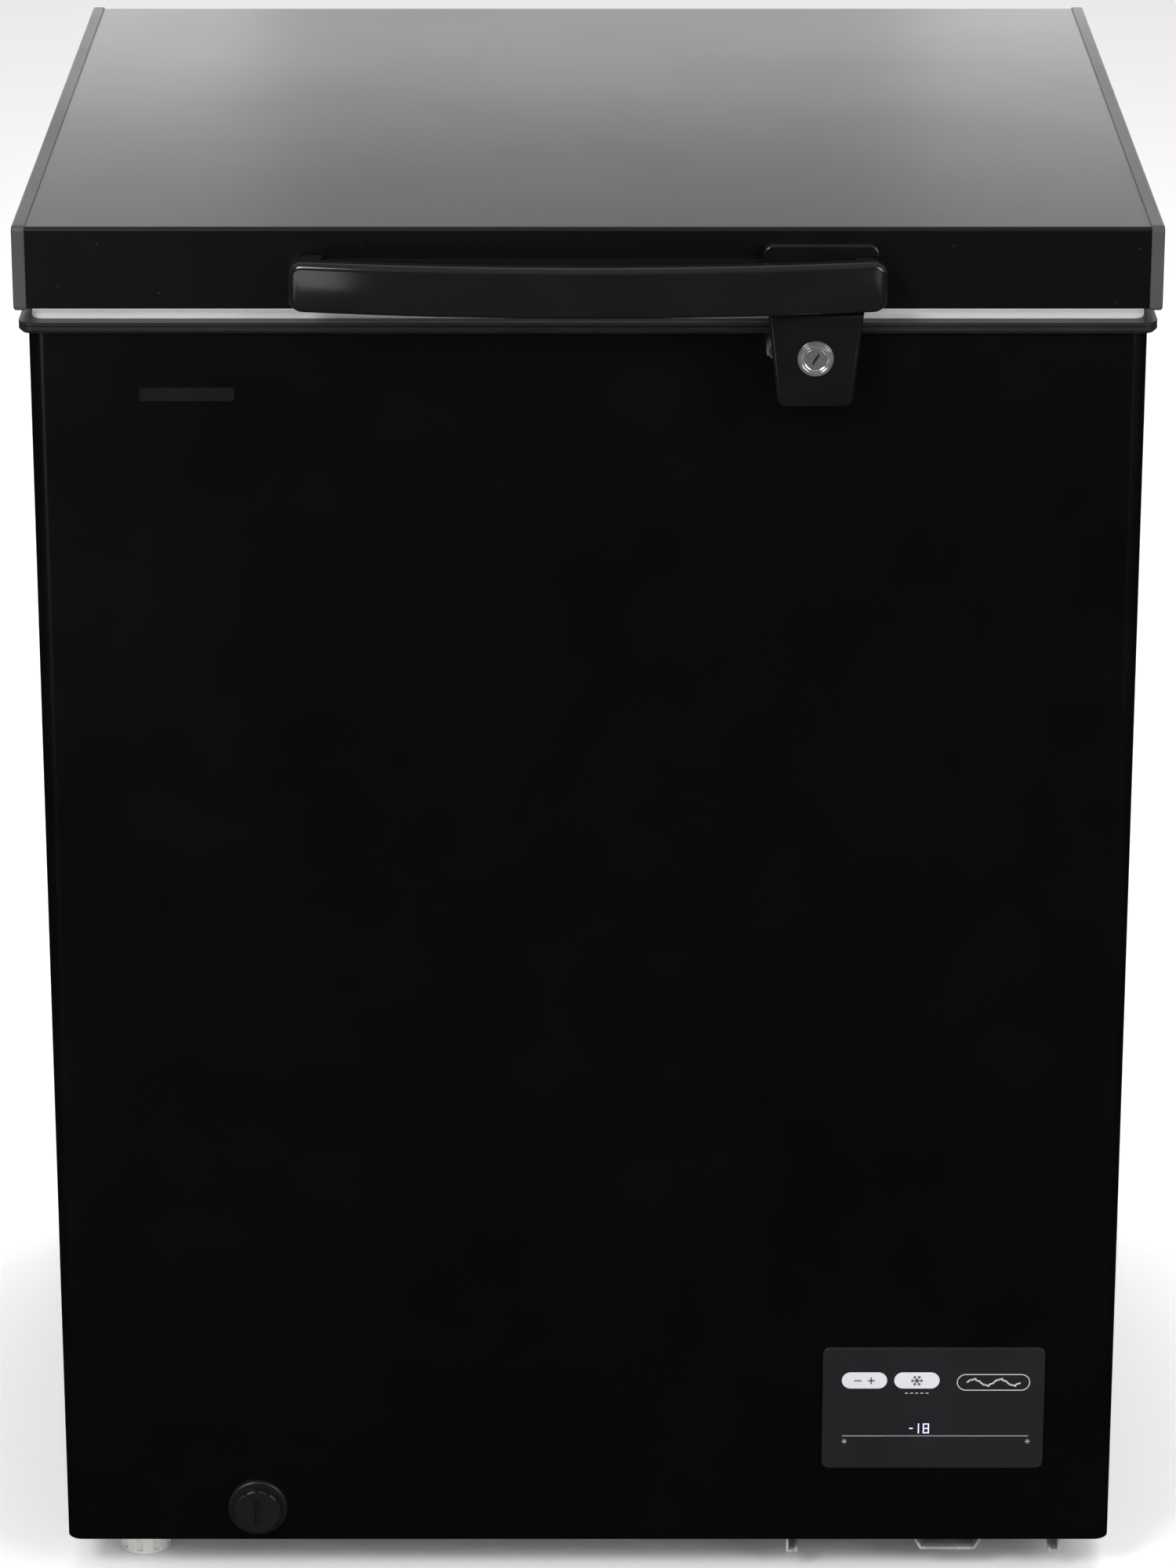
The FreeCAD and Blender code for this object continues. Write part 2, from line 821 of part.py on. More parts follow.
def suction_tube():
    x, y, z = evaporator_route()[-1]
    start = stub_end(0.0, 110.0, 20.0)
    side = stub_end(0.0, 110.0, 40.0)
    points = [start, side, (side[0], side[1], z - 45), (x, y, z - 22), (x, y, z)]
    return pipe(points, 4.0, 8.0)


def discharge_tube():
    x, y, z = condenser_route()[0]
    start = stub_end(30.0, 62.0, 20.0)
    side = stub_end(30.0, 62.0, 42.0)
    points = [start, side, (side[0], side[1], z - 60), (x, y, z - 25), (x, y, z)]
    return pipe(points, condenser_radius, 7.0)


def filter_drier():
    """Copper drier, with the pipe that brings it the condenser's liquid."""
    x, y, z = condenser_route()[-1]
    axis_x, axis_y = x - 13.0, y + 17.0
    body = rod((axis_x, axis_y, z - 130), (0, 0, 1), 9.0, 80)
    body = body.makeFillet(5.0, closed_edges(body))
    inlet = [(x, y, z), (x, y, z - 16), (axis_x, axis_y, z - 30), (axis_x, axis_y, z - 52)]
    return body.fuse(pipe(inlet, condenser_radius, 5.0)).removeSplitter()


def capillary_tube():
    x, y, z = condenser_route()[-1]
    start = (x - 13.0, y + 17.0, z - 130)
    end = evaporator_route()[0]
    points = [
        start, (start[0], start[1], start[2] - 24), (end[0], start[1] - 20, start[2] - 24),
        (end[0], start[1] - 20, end[2] - 34), (end[0], end[1], end[2] - 24), end]
    return pipe(points, 1.2, 7.0)


# ---------------------------------------------------------------- vents, cover, gland
def rear_cover():
    x0, x1, z0, z1 = rear_opening()
    lap = rear_cover_lap
    cover = rounded_block(
        x0 - lap, x1 + lap, rear, rear + rear_cover_sheet, z0 - lap, z1 + lap, 5, (0, 1, 0))
    gland_x, gland_z = gland_place()
    y0, y1 = rear - 1, rear + rear_cover_sheet + 1
    middle = (z0 + z1) / 2
    holes = [
        slots_y(x0 + 8, x1 - 8, middle + 8, z1 - 10, y0, y1),
        slots_y(x0 + 8, x1 - 44, z0 + 10, middle - 8, y0, y1),
        rod((gland_x, y0, gland_z), (0, 1, 0), gland_radius + hole_clearance, 4),
    ]
    for x, y, z in rear_cover_screws():
        holes.append(screw_hole(x, y0, z, 4))
    return cover.cut(holes)


def cord_gland():
    """Moulded bush for the mains lead: snaps into the rear cover."""
    x, z = gland_place()
    y = rear + rear_cover_sheet
    flange = rod((x, y, z), (0, 1, 0), gland_flange, 2.0)
    nose = rod((x, y, z), (0, 1, 0), gland_flange - 2.5, 7.0)
    sleeve = rod((x, y - 8.0, z), (0, 1, 0), gland_radius, 8.0)
    bore = rod((x, y - 9.0, z), (0, 1, 0), gland_bore, 20)
    return flange.fuse([nose, sleeve]).cut(bore).removeSplitter()


def grille_opening():
    y0 = (front + rear - grille_width) / 2
    return y0, y0 + grille_width, grille_bottom, grille_bottom + grille_height


def side_grille():
    y0, y1, z0, z1 = grille_opening()
    lap = grille_lap
    plate = rounded_block(
        half_width, half_width + grille_sheet, y0 - lap, y1 + lap, z0 - lap, z1 + lap, 6, (1, 0, 0))
    spigot = block(half_width - 3, half_width, y0 + 0.2, y1 - 0.2, z0 + 0.2, z1 - 0.2)
    spigot = spigot.cut(block(half_width - 4, half_width + 1, y0 + 2.2, y1 - 2.2, z0 + 2.2, z1 - 2.2))
    x0, x1 = half_width - 1, half_width + grille_sheet + 1
    middle = (z0 + z1) / 2
    upper = slots_x(y0 + 6, y1 - 6, middle + 4, z1 - 8, x0, x1)
    lower = slots_x(y0 + 6, y1 - 6, z0 + 8, middle - 4, x0, x1)
    return plate.fuse(spigot).cut([upper, lower]).removeSplitter()


# ---------------------------------------------------------------- control panel
def panel_box_outline():
    m = panel_box_margin
    return (panel_left + m, panel_left + panel_width - m,
            panel_bottom + m, panel_bottom + panel_height - m)


def key_outline(left):
    x0 = panel_left + left
    z0 = panel_bottom + key_bottom
    return x0, x0 + key_width, z0, z0 + key_height


def panel_face():
    """Moulded face plate with pill holes for the keys and a shallow seat for the digits."""
    face = rounded_block(
        panel_left, panel_left + panel_width, front - panel_proud, front,
        panel_bottom, panel_bottom + panel_height, panel_corner, (0, 1, 0))
    face = face.makeFillet(0.5, edges_in_front_of(face, front - panel_proud))
    holes = [digit_solids(digit_depth)]
    for left in key_lefts:
        x0, x1, z0, z1 = key_outline(left)
        g = key_gap
        holes.append(rounded_block(
            x0 - g, x1 + g, front - panel_proud - 1, front + 1, z0 - g, z1 + g,
            key_height / 2 + g - 0.01, (0, 1, 0)))
    return face.cut(holes)


def panel_box():
    x0, x1, z0, z1 = panel_box_outline()
    w = panel_box_wall
    y1 = front + panel_box_depth
    tub = block(x0, x1, front, y1, z0, z1)
    tub = tub.cut(block(x0 + w, x1 - w, front - 1, y1 - w, z0 + w, z1 - w))
    board_back = board_plane() + board_size[2]
    posts = []
    for x in (x0 + 14, x1 - 14):
        for z in (z0 + 14, z1 - 14):
            posts.append(rod((x, board_back, z), (0, 1, 0), 3.0, y1 - w - board_back))
    return tub.fuse(posts).removeSplitter()


def board_plane():
    return front + 6.0


def control_board():
    x0, x1, z0, z1 = panel_box_outline()
    width, height, thickness = board_size
    x = (x0 + x1 - width) / 2
    z = (z0 + z1 - height) / 2
    y = board_plane()
    half = switch_width / 2
    parts = []
    for left in key_lefts:
        a, b, c, d = key_outline(left)
        middle_x, middle_z = (a + b) / 2, (c + d) / 2
        contact_y = front + key_tail() + key_travel + 0.1
        parts.append(block(
            middle_x - half, middle_x + half, contact_y, y, middle_z - half, middle_z + half))
    board = block(x, x + width, y, y + thickness, z, z + height)
    chip = block(x + 12, x + 36, y - 2.2, y, z + 8, z + 24)
    socket = block(x + 60, x + 84, y + thickness, y + thickness + 8, z + 6, z + 14)
    return board.fuse(parts + [chip, socket]).removeSplitter()


def key_tail():
    """How far a key reaches behind the face plate's back."""
    return 3.4


def panel_key(left):
    x0, x1, z0, z1 = key_outline(left)
    y0 = front - panel_proud - key_proud
    cap = rounded_block(x0, x1, y0, front, z0, z1, key_height / 2 - 0.01, (0, 1, 0))
    cap = cap.makeFillet(0.35, edges_in_front_of(cap, y0))
    back = front + running_fit
    neck = rounded_block(x0, x1, front, back, z0, z1, key_height / 2 - 0.01, (0, 1, 0))
    flange = block(x0 - 1.2, x1 + 1.2, back, back + key_flange, z0 - 1.2, z1 + 1.2)
    stem = rod(((x0 + x1) / 2, back, (z0 + z1) / 2), (0, 1, 0), 2.5, key_tail() - running_fit)
    return cap.fuse([neck, flange, stem]).removeSplitter()


SEGMENTS = {
    "-": "g",
    "1": "i",
    "8": "abcdefg",
}


def digit_solids(depth):
    """A minus sign and two seven-segment digits, as separate bars."""
    bar, width, height = digit_bar, digit_width, digit_height
    half = height / 2
    gap = 0.12
    bars = {
        "a": (bar + gap, width - bar - gap, height - bar, height),
        "g": (bar + gap, width - bar - gap, half - bar / 2, half + bar / 2),
        "d": (bar + gap, width - bar - gap, 0, bar),
        "f": (0, bar, half + gap, height),
        "b": (width - bar, width, half + gap, height),
        "e": (0, bar, 0, half - gap),
        "c": (width - bar, width, 0, half - gap),
        "i": ((width - bar) / 2, (width + bar) / 2, 0, height),
    }
    y0 = front - panel_proud - 0.1
    y1 = front - panel_proud + depth
    solids = []
    for place, sign in enumerate("-18"):
        x = panel_left + digits_left + place * digit_pitch
        z = panel_bottom + digits_bottom
        for letter in SEGMENTS[sign]:
            a, b, c, d = bars[letter]
            solids.append(block(x + a, x + b, y0, y1, z + c, z + d))
    return Part.Compound(solids)


def display_digits():
    return digit_solids(digit_depth)


# ---------------------------------------------------------------- drain
def drain_elbow_outside():
    """Outer form of the drain passage inside the foam."""
    radius = drain_bore + drain_wall
    length = drain_sump_y_in + radius
    pipe_run = rod((drain_x, front, drain_z), (0, 1, 0), radius, length)
    sump = rod((drain_x, sump_y(), drain_z), (0, 0, 1), sump_bore + sump_wall, well_floor - drain_z)
    return pipe_run.fuse(sump)


def drain_elbow():
    """Escutcheon, level passage and sump under the liner's drain hole, in one moulding."""
    flange = rod((drain_x, front - drain_flange, drain_z), (0, 1, 0), drain_flange_radius, drain_flange)
    rim = [edge for edge in flange.Edges if edge.Closed and edge.CenterOfMass.y < front - 1]
    flange = flange.makeFillet(1.4, rim)
    bore = rod(
        (drain_x, front - drain_flange - 1, drain_z), (0, 1, 0), drain_bore,
        drain_sump_y_in + drain_flange + 1 + sump_bore - 2)
    drop = rod((drain_x, sump_y(), drain_z), (0, 0, 1), sump_bore, well_floor - drain_z + 1)
    return flange.fuse(drain_elbow_outside()).cut([bore, drop]).removeSplitter()


def drain_tube_radius():
    return drain_bore - drain_tube_fit


def drain_tube():
    """Sliding tube: pulled forward to drain the well."""
    y0 = front - drain_flange - drain_cap_gap - 1.2
    y1 = sump_y() - sump_bore - 1
    outer = rod((drain_x, y0, drain_z), (0, 1, 0), drain_tube_radius(), y1 - y0)
    bore = drain_tube_radius() - drain_tube_wall
    return outer.cut(rod((drain_x, y0 - 1, drain_z), (0, 1, 0), bore, y1 - y0 + 2))


def drain_cap():
    """Fluted cap that turns in the tube's mouth."""
    y0 = front - drain_flange - drain_cap_proud
    mouth = front - drain_flange - drain_cap_gap - 1.2
    back = front - drain_flange - drain_cap_gap
    disc = rod((drain_x, y0, drain_z), (0, 1, 0), drain_cap_radius, back - y0)
    rim = [edge for edge in disc.Edges if edge.Closed and edge.CenterOfMass.y < y0 + 0.01]
    disc = disc.makeFillet(1.2, rim)
    room = rod((drain_x, mouth - 0.2, drain_z), (0, 1, 0), drain_tube_radius() + 0.6, 10)
    flutes = []
    for i in range(drain_flutes):
        angle = 2 * math.pi * i / drain_flutes
        x = drain_x + (drain_cap_radius + 0.5) * math.cos(angle)
        z = drain_z + (drain_cap_radius + 0.5) * math.sin(angle)
        flutes.append(rod((x, y0 - 1, z), (0, 1, 0), 1.5, 10))
    grip = block(drain_x - 1.6, drain_x + 1.6, y0 - 1, y0 + 1.2, drain_z - 8, drain_z + 8)
    disc = disc.cut([room, grip] + flutes)
    bore = drain_tube_radius() - drain_tube_wall
    spigot = rod((drain_x, y0 + 2.5, drain_z), (0, 1, 0), bore - running_fit, 12)
    return disc.fuse(spigot).removeSplitter()


def drain_plug():
    """Push-in plug over the drain hole in the well's floor."""
    top = well_floor + sheet
    head = rod((drain_x, sump_y(), top), (0, 0, 1), plug_head_radius, plug_head)
    rim = [edge for edge in head.Edges if edge.Closed and edge.CenterOfMass.z > top + 1]
    head = head.makeFillet(1.5, rim)
    grip = rounded_block(
        drain_x - 8, drain_x + 8, sump_y() - 1.6, sump_y() + 1.6, top + plug_head - 1, top + plug_head + 7,
        1.2, (0, 1, 0))
    spigot = rod(
        (drain_x, sump_y(), top - plug_spigot), (0, 0, 1), sump_bore - running_fit, plug_spigot)
    return head.fuse([grip, spigot]).removeSplitter()


# ---------------------------------------------------------------- feet
def stud_top(level, thickness):
    return level + thickness + nut_height + stud_end


def foot(x, y, level, thickness):
    """Fluted screw foot with its stud."""
    pad = rod((x, y, 0), (0, 0, 1), foot_radius, level)
    pad = pad.makeChamfer(foot_chamfer, closed_edges(pad))
    flutes = []
    for i in range(foot_lobes):
        angle = 2 * math.pi * (i + 0.5) / foot_lobes
        a = x + (foot_radius + 0.6) * math.cos(angle)
        b = y + (foot_radius + 0.6) * math.sin(angle)
        flutes.append(rod((a, b, foot_skirt), (0, 0, 1), foot_flute, level))
    stud = rod((x, y, level - 2), (0, 0, 1), stud_radius, stud_top(level, thickness) - level + 2)
    return pad.cut(flutes).fuse(stud).removeSplitter()


def foot_nuts():
    nuts = []
    for name, x, y, level, thickness in feet():
        z = level + thickness
        nut = hexagon(x, y, z, nut_across, nut_height)
        nuts.append(nut.cut(rod((x, y, z - 1), (0, 0, 1), stud_radius + running_fit, nut_height + 2)))
    return Part.Compound(nuts)


# ---------------------------------------------------------------- lid
def lid_sheet():
    """Painted lid skin: front, top and back in one bent sheet with turned-in lower flanges."""
    s = sheet
    shell = rounded_lid(lid_front, lid_rear, lid_bottom, lid_top, lid_edge_radius, lid_sheet_half)
    core = rounded_lid(
        lid_front + s, lid_rear - s, lid_bottom + s, lid_top - s, lid_edge_radius - s, lid_sheet_half + 1)
    window = block(
        -lid_sheet_half - 1, lid_sheet_half + 1, lid_front + lid_flange, lid_rear - lid_flange,
        lid_bottom - 1, lid_bottom + s + 1)
    holes = [core, window]
    for x, y, z in hinge_leaf_screws():
        holes.append(screw_hole(x, lid_rear - 2, z, 3))
    return shell.cut(holes)


def rounded_lid(y0, y1, z0, z1, radius, half):
    solid = block(-half, half, y0, y1, z0, z1)
    middle = (z0 + z1) / 2
    return fillet_where(
        solid, radius, lambda edge: runs_along(edge, (1, 0, 0)) and edge.CenterOfMass.z > middle)


def lid_plug_box(grow, z0, z1):
    """The raised middle of the lid's inner liner, inside the gasket."""
    m = gasket_width + lid_plug_margin - grow
    return rounded_block(
        -lid_half + cap_thickness + gasket_side_inset + m, lid_half - cap_thickness - gasket_side_inset - m,
        lid_front + gasket_front_inset + m, lid_rear - gasket_front_inset - m, z0, z1, 14, (0, 0, 1))


def lid_liner():
    """Moulded inner face of the lid: flat rim under the gasket, dished middle."""
    t = lid_liner_wall
    rim = block(
        -lid_sheet_half, lid_sheet_half, lid_front + lid_flange, lid_rear - lid_flange,
        lid_bottom, lid_bottom + t)
    pan = lid_plug_box(0, lid_bottom - lid_plug_drop, lid_bottom + t)
    hollow = lid_plug_box(-t, lid_bottom - lid_plug_drop + t, lid_bottom + t + 1)
    return rim.fuse(pan).cut(hollow).removeSplitter()


def lid_foam():
    s = sheet
    t = lid_liner_wall
    body = rounded_lid(
        lid_front + s, lid_rear - s, lid_bottom + s, lid_top - s, lid_edge_radius - s, lid_sheet_half)
    room = block(
        -lid_sheet_half - 1, lid_sheet_half + 1, lid_front + lid_flange, lid_rear - lid_flange,
        lid_bottom, lid_bottom + t)
    filling = lid_plug_box(-t, lid_bottom - lid_plug_drop + t, lid_bottom + t)
    return body.cut(room).fuse(filling).removeSplitter()


def lid_cap(side):
    """Moulded end cap, a little proud of the sheet, with softened edges."""
    inner = lid_sheet_half * side
    outer = lid_half * side
    cap = rounded_block(
        min(inner, outer), max(inner, outer), lid_front - cap_proud, lid_rear + cap_proud,
        lid_bottom - cap_drop, lid_top + cap_proud, cap_corner, (1, 0, 0))
    face = [edge for edge in cap.Edges if abs(edge.CenterOfMass.x - outer) < 1e-6]
    cap = cap.makeFillet(cap_edge, face)
    near = [
        edge for edge in cap.Edges
        if abs(edge.BoundBox.XMin - inner) < 1e-6 and abs(edge.BoundBox.XMax - inner) < 1e-6]
    return cap.makeChamfer(0.5, near)


def gasket():
    """White magnetic seal with two soft ribs between the lid and the collar."""
    x = lid_sheet_half - gasket_side_inset
    y0 = lid_front + gasket_front_inset
    y1 = lid_rear - gasket_front_inset
    w = gasket_width
    top = lid_bottom
    low = collar_top
    ring = rounded_block(-x, x, y0, y1, low, top, 6, (0, 0, 1))
    hole = block(-x + w, x - w, y0 + w, y1 - w, low - 1, top + 1)
    groove = rounded_block(-x - 1, x + 1, y0 - 1, y1 + 1, low + 3.2, low + 4.6, 7, (0, 0, 1))
    keep = rounded_block(-x + 2.5, x - 2.5, y0 + 2.5, y1 - 2.5, low, top, 4, (0, 0, 1))
    return ring.cut([hole, groove.cut(keep)])


# ---------------------------------------------------------------- handle and lock
def handle_z():
    z0 = lid_bottom + handle_z_in_lid
    return z0, z0 + handle_height


def bow_edge(depth_end, depth_middle, half, z):
    """A shallow arc across the handle's front, seen from above."""
    left = V(-half, lid_front - depth_end, z)
    top = V(0, lid_front - depth_middle, z)
    right = V(half, lid_front - depth_end, z)
    return Part.Arc(left, top, right).toShape()


def bowed_slab(depth_end, depth_middle, half, z0, z1):
    """Everything between the lid's front and a bowed front face."""
    front_arc = bow_edge(depth_end, depth_middle, half, z0)
    corners = [V(half, lid_front - depth_end, z0), V(half, lid_front, z0),
               V(-half, lid_front, z0), V(-half, lid_front - depth_end, z0)]
    sides = [Part.LineSegment(a, b).toShape() for a, b in zip(corners, corners[1:])]
    face = Part.Face(Part.Wire([front_arc] + sides))
    return face.extrude(V(0, 0, z1 - z0))


def handle_base():
    z0, z1 = handle_z()
    m = handle_base_margin
    half = handle_length / 2 - m
    return rounded_block(
        -half, half, lid_front - handle_base_thickness, lid_front, z0 + m, z1 - m,
        handle_corner - m, (0, 1, 0))


def handle_bar():
    """Bowed grip bar with a post at each end."""
    z0, z1 = handle_z()
    half = handle_length / 2
    slab = bowed_slab(handle_end_projection, handle_projection, half, z0, z1)
    near_front = lid_front - handle_end_projection + 1e-3
    slab = fillet_where(slab, handle_edge, lambda edge: edge.BoundBox.YMax < near_front)
    outline = rounded_block(
        -half, half, lid_front - handle_projection - 1, lid_front, z0, z1, handle_corner, (0, 1, 0))
    bar = slab.common(outline)
    t = handle_thickness
    grip = bowed_slab(handle_end_projection - t, handle_projection - t, half - handle_post, z0 - 1, z1 + 1)
    seat = block(
        -half, half, lid_front - handle_base_thickness, lid_front + 1, z0 - 1, z1 + 1)
    return bar.cut([grip, seat])


def lock_pad():
    """Upper part of the lock moulding, behind the handle bar."""
    half = lock_pad_width / 2
    z1 = lid_bottom + lock_pad_rise
    x = lock_x + lock_pad_shift
    face = lid_front - lock_pad_projection
    pad = rounded_block(
        x - half, x + half, face, lid_front, lid_bottom + 1, z1, lock_pad_corner, (0, 1, 0))
    pad = pad.makeFillet(1.5, edges_in_front_of(pad, face))
    bar_z0, bar_z1 = handle_z()
    post = block(
        handle_length / 2 - handle_post - key_gap, handle_length / 2 + key_gap,
        lid_front - handle_projection, lid_front, bar_z0 - key_gap, bar_z1 + key_gap)
    return pad.cut([handle_keepout(), post])


def lock_housing():
    """Lock moulding: pad on the lid's front and the tab that hangs in front of the cabinet."""
    y0 = lid_front - tab_projection
    y1 = lock_plane
    top = lid_bottom + 2.0
    low = lid_bottom - tab_drop
    a = tab_top_width / 2
    b = tab_bottom_width / 2
    centre = lock_x
    corners = [(centre - a, y0, top), (centre + a, y0, top), (centre + b, y0, low), (centre - b, y0, low)]
    tab = prism(corners, (0, y1 - y0, 0))
    tab = fillet_where(
        tab, tab_corner, lambda edge: edge.BoundBox.ZMax < low + 1e-6 and runs_along(edge, (0, 1, 0)))
    tab = tab.makeFillet(2.4, edges_in_front_of(tab, y0))
    neck = block(centre - a + 4, centre + a - 4, y1 - 2.5, lid_front - 1, lid_bottom + 1, top + 6)
    bore = rod((centre, y0 - 1, lock_z), (0, 1, 0), plug_radius + running_fit, 40)
    body = tab.fuse([lock_pad(), neck.cut(handle_keepout())]).removeSplitter()
    return body.cut(bore)


def handle_keepout():
    """Room that the handle's base and bar need behind the lock moulding."""
    z0, z1 = handle_z()
    return block(-half_width, half_width, lid_front - handle_base_thickness, lid_front + 1, z0, z1)


def lock_bezel():
    """Chrome rosette round the key plug, turned in rings."""
    y1 = lid_front - tab_projection
    ring = rod((lock_x, y1 - bezel_proud, lock_z), (0, 1, 0), bezel_radius, bezel_proud)
    rim = [edge for edge in ring.Edges if edge.Closed and edge.CenterOfMass.y < y1 - 1]
    ring = ring.makeFillet(0.9, rim)
    cuts = [rod((lock_x, y1 - 5, lock_z), (0, 1, 0), plug_radius + running_fit, 10)]
    for radius in (7.6, 8.9):
        groove = rod((lock_x, y1 - bezel_proud - 1, lock_z), (0, 1, 0), radius, 1.3)
        cuts.append(groove.cut(rod((lock_x, y1 - 6, lock_z), (0, 1, 0), radius - 0.5, 8)))
    return ring.cut(cuts)


def lock_cylinder():
    """Key plug with its slot, and the tail that carries the cam."""
    y0 = lid_front - tab_projection - bezel_proud + 0.4
    plug = rod((lock_x, y0, lock_z), (0, 1, 0), plug_radius, lock_plane - y0)
    tail = rod((lock_x, lock_plane, lock_z), (0, 1, 0), cam_bore, cam_gap + cam_thickness + 0.6)
    length, width, depth = key_slot
    slot = block(-width / 2, width / 2, y0 - 1, y0 + depth, -length / 2, length / 2)
    slot.rotate(V(0, 0, 0), V(0, 1, 0), key_slot_tilt)
    slot.translate(V(lock_x, 0, lock_z))
    return plug.fuse(tail).removeSplitter().cut(slot)


def lock_cam():
    """Flat tongue on the plug's tail. It hangs down unlocked and turns under the keeper's lip."""
    y0 = lock_plane + cam_gap
    half = cam_width / 2
    arm = block(
        lock_x - half, lock_x + half, y0, y0 + cam_thickness, lock_z - cam_length + half, lock_z)
    ends = [
        rod((lock_x, y0, lock_z), (0, 1, 0), cam_bore + 2.5, cam_thickness),
        rod((lock_x, y0, lock_z - cam_length + half), (0, 1, 0), half, cam_thickness),
    ]
    hole = rod((lock_x, y0 - 1, lock_z), (0, 1, 0), cam_bore, cam_thickness + 2)
    return arm.fuse(ends).cut(hole).removeSplitter()


def lock_keeper():
    """Catch on the cabinet's front: round-ended base, with a wall that curves over the cam."""
    x0 = lock_x - keeper_reach
    x1 = x0 + keeper_width
    z1 = cabinet_top - keeper_drop
    z0 = z1 - keeper_height
    y0 = lock_plane + keeper_gap
    radius = keeper_height / 2 - 0.01
    w = keeper_wall
    base = rounded_block(x0, x1, front - keeper_base, front, z0, z1, radius, (0, 1, 0))
    rim = rounded_block(x0, x1, y0, front, z0, z1, radius, (0, 1, 0))
    hollow = rounded_block(x0 + w, x1 + w, y0 - 1, front, z0 + w, z1 - w, radius - w, (0, 1, 0))
    sweep = block(x0 - 1, x1 + 1, y0 - 1, front, z0 - 1, lock_z - keeper_open_below)
    right_end = block(x1 - radius, x1 + 1, y0 - 1, front, z0 - 1, z1 + 1)
    return base.fuse(rim.cut([hollow, sweep, right_end])).removeSplitter()


# ---------------------------------------------------------------- hinges
def hinge_bracket(centre):
    """U-shaped steel bracket on the rear panel: cheeks for the pin, shelves for the spring."""
    half = hinge_width / 2
    s = hinge_sheet
    depth = lid_rear + hinge_projection - rear
    top = pivot_z + hinge_knuckle + 0.5
    back_top = cabinet_top - 2
    low = pivot_z - hinge_length
    plate = block(centre - half, centre + half, rear, rear + s, low, back_top)
    outline = [
        (rear, low), (rear + depth - 8, low), (rear + depth, low + 8), (rear + depth, pivot_z - 14),
        (pivot_y + hinge_knuckle + 1, top), (pivot_y - hinge_knuckle - 1, top),
        (rear + collar_overhang + 2.5, pivot_z - 2), (rear + collar_overhang + 2.5, back_top - 8),
        (rear, back_top - 8)]
    cheeks = []
    for x in (centre - half, centre + half - s):
        cheeks.append(prism([(x, y, z) for y, z in outline], (s, 0, 0)))
    shelf_z = low + 8
    shelves = []
    for z in (shelf_z, shelf_z + spring_length + s):
        shelves.append(block(centre - half, centre + half, rear, rear + depth - 4, z - s, z))
    bracket = plate.fuse(cheeks + shelves)
    cuts = [rod((centre - half - 1, pivot_y, pivot_z), (1, 0, 0), hinge_pin_radius, hinge_width + 2)]
    for x, y, z in hinge_bracket_screws():
        if abs(x - centre) < half:
            cuts.append(screw_hole(x, rear - 1, z, hinge_sheet + 2))
    return bracket.removeSplitter().cut(cuts)


def hinge_leaf(centre):
    """Steel leaf on the lid's back, curled round the pin between the cheeks."""
    s = hinge_sheet
    half = hinge_leaf_width / 2
    leaf = block(
        centre - half, centre + half, lid_rear, lid_rear + s, pivot_z, lid_bottom + hinge_leaf_rise)
    web = block(centre - half, centre + half, lid_rear, pivot_y, pivot_z - s / 2, pivot_z + s / 2)
    knuckle = rod((centre - half, pivot_y, pivot_z), (1, 0, 0), hinge_knuckle, hinge_leaf_width)
    bore = rod((centre - half - 1, pivot_y, pivot_z), (1, 0, 0), hinge_pin_radius + running_fit,
               hinge_leaf_width + 2)
    cuts = [bore]
    for x, y, z in hinge_leaf_screws():
        if abs(x - centre) < half:
            cuts.append(screw_hole(x, lid_rear - 1, z, hinge_sheet + 2))
    return leaf.fuse([web, knuckle]).removeSplitter().cut(cuts)


def hinge_pins():
    pins = []
    for centre in hinge_centres():
        half = hinge_width / 2
        shank = rod((centre - half - 1.5, pivot_y, pivot_z), (1, 0, 0), hinge_pin_radius, hinge_width + 3)
        heads = [
            rod((centre - half - 2.5, pivot_y, pivot_z), (1, 0, 0), hinge_pin_radius + 1.8, 2.5),
            rod((centre + half, pivot_y, pivot_z), (1, 0, 0), hinge_pin_radius + 1.8, 2.5),
        ]
        pins.append(shank.fuse(heads).removeSplitter())
    return Part.Compound(pins)


def spring_axis_y():
    return rear + hinge_sheet + spring_radius + 5.0


def hinge_springs():
    """Outer form of each counterbalance spring, between its shelves."""
    tubes = []
    z = pivot_z - hinge_length + 8
    for centre in hinge_centres():
        tube = rod((centre, spring_axis_y(), z), (0, 0, 1), spring_radius, spring_length)
        bore = spring_radius - spring_wire
        tubes.append(tube.cut(rod((centre, spring_axis_y(), z - 1), (0, 0, 1), bore, spring_length + 2)))
    return Part.Compound(tubes)


def cabinet_screws():
    screws = [screw(p, (0, 1, 0), hinge_sheet + sheet) for p in hinge_bracket_screws()]
    screws += [screw(p, (0, 1, 0), rear_cover_sheet + sheet) for p in rear_cover_screws()]
    return Part.Compound(screws)


def lid_screws():
    return Part.Compound([screw(p, (0, 1, 0), hinge_sheet + sheet) for p in hinge_leaf_screws()])


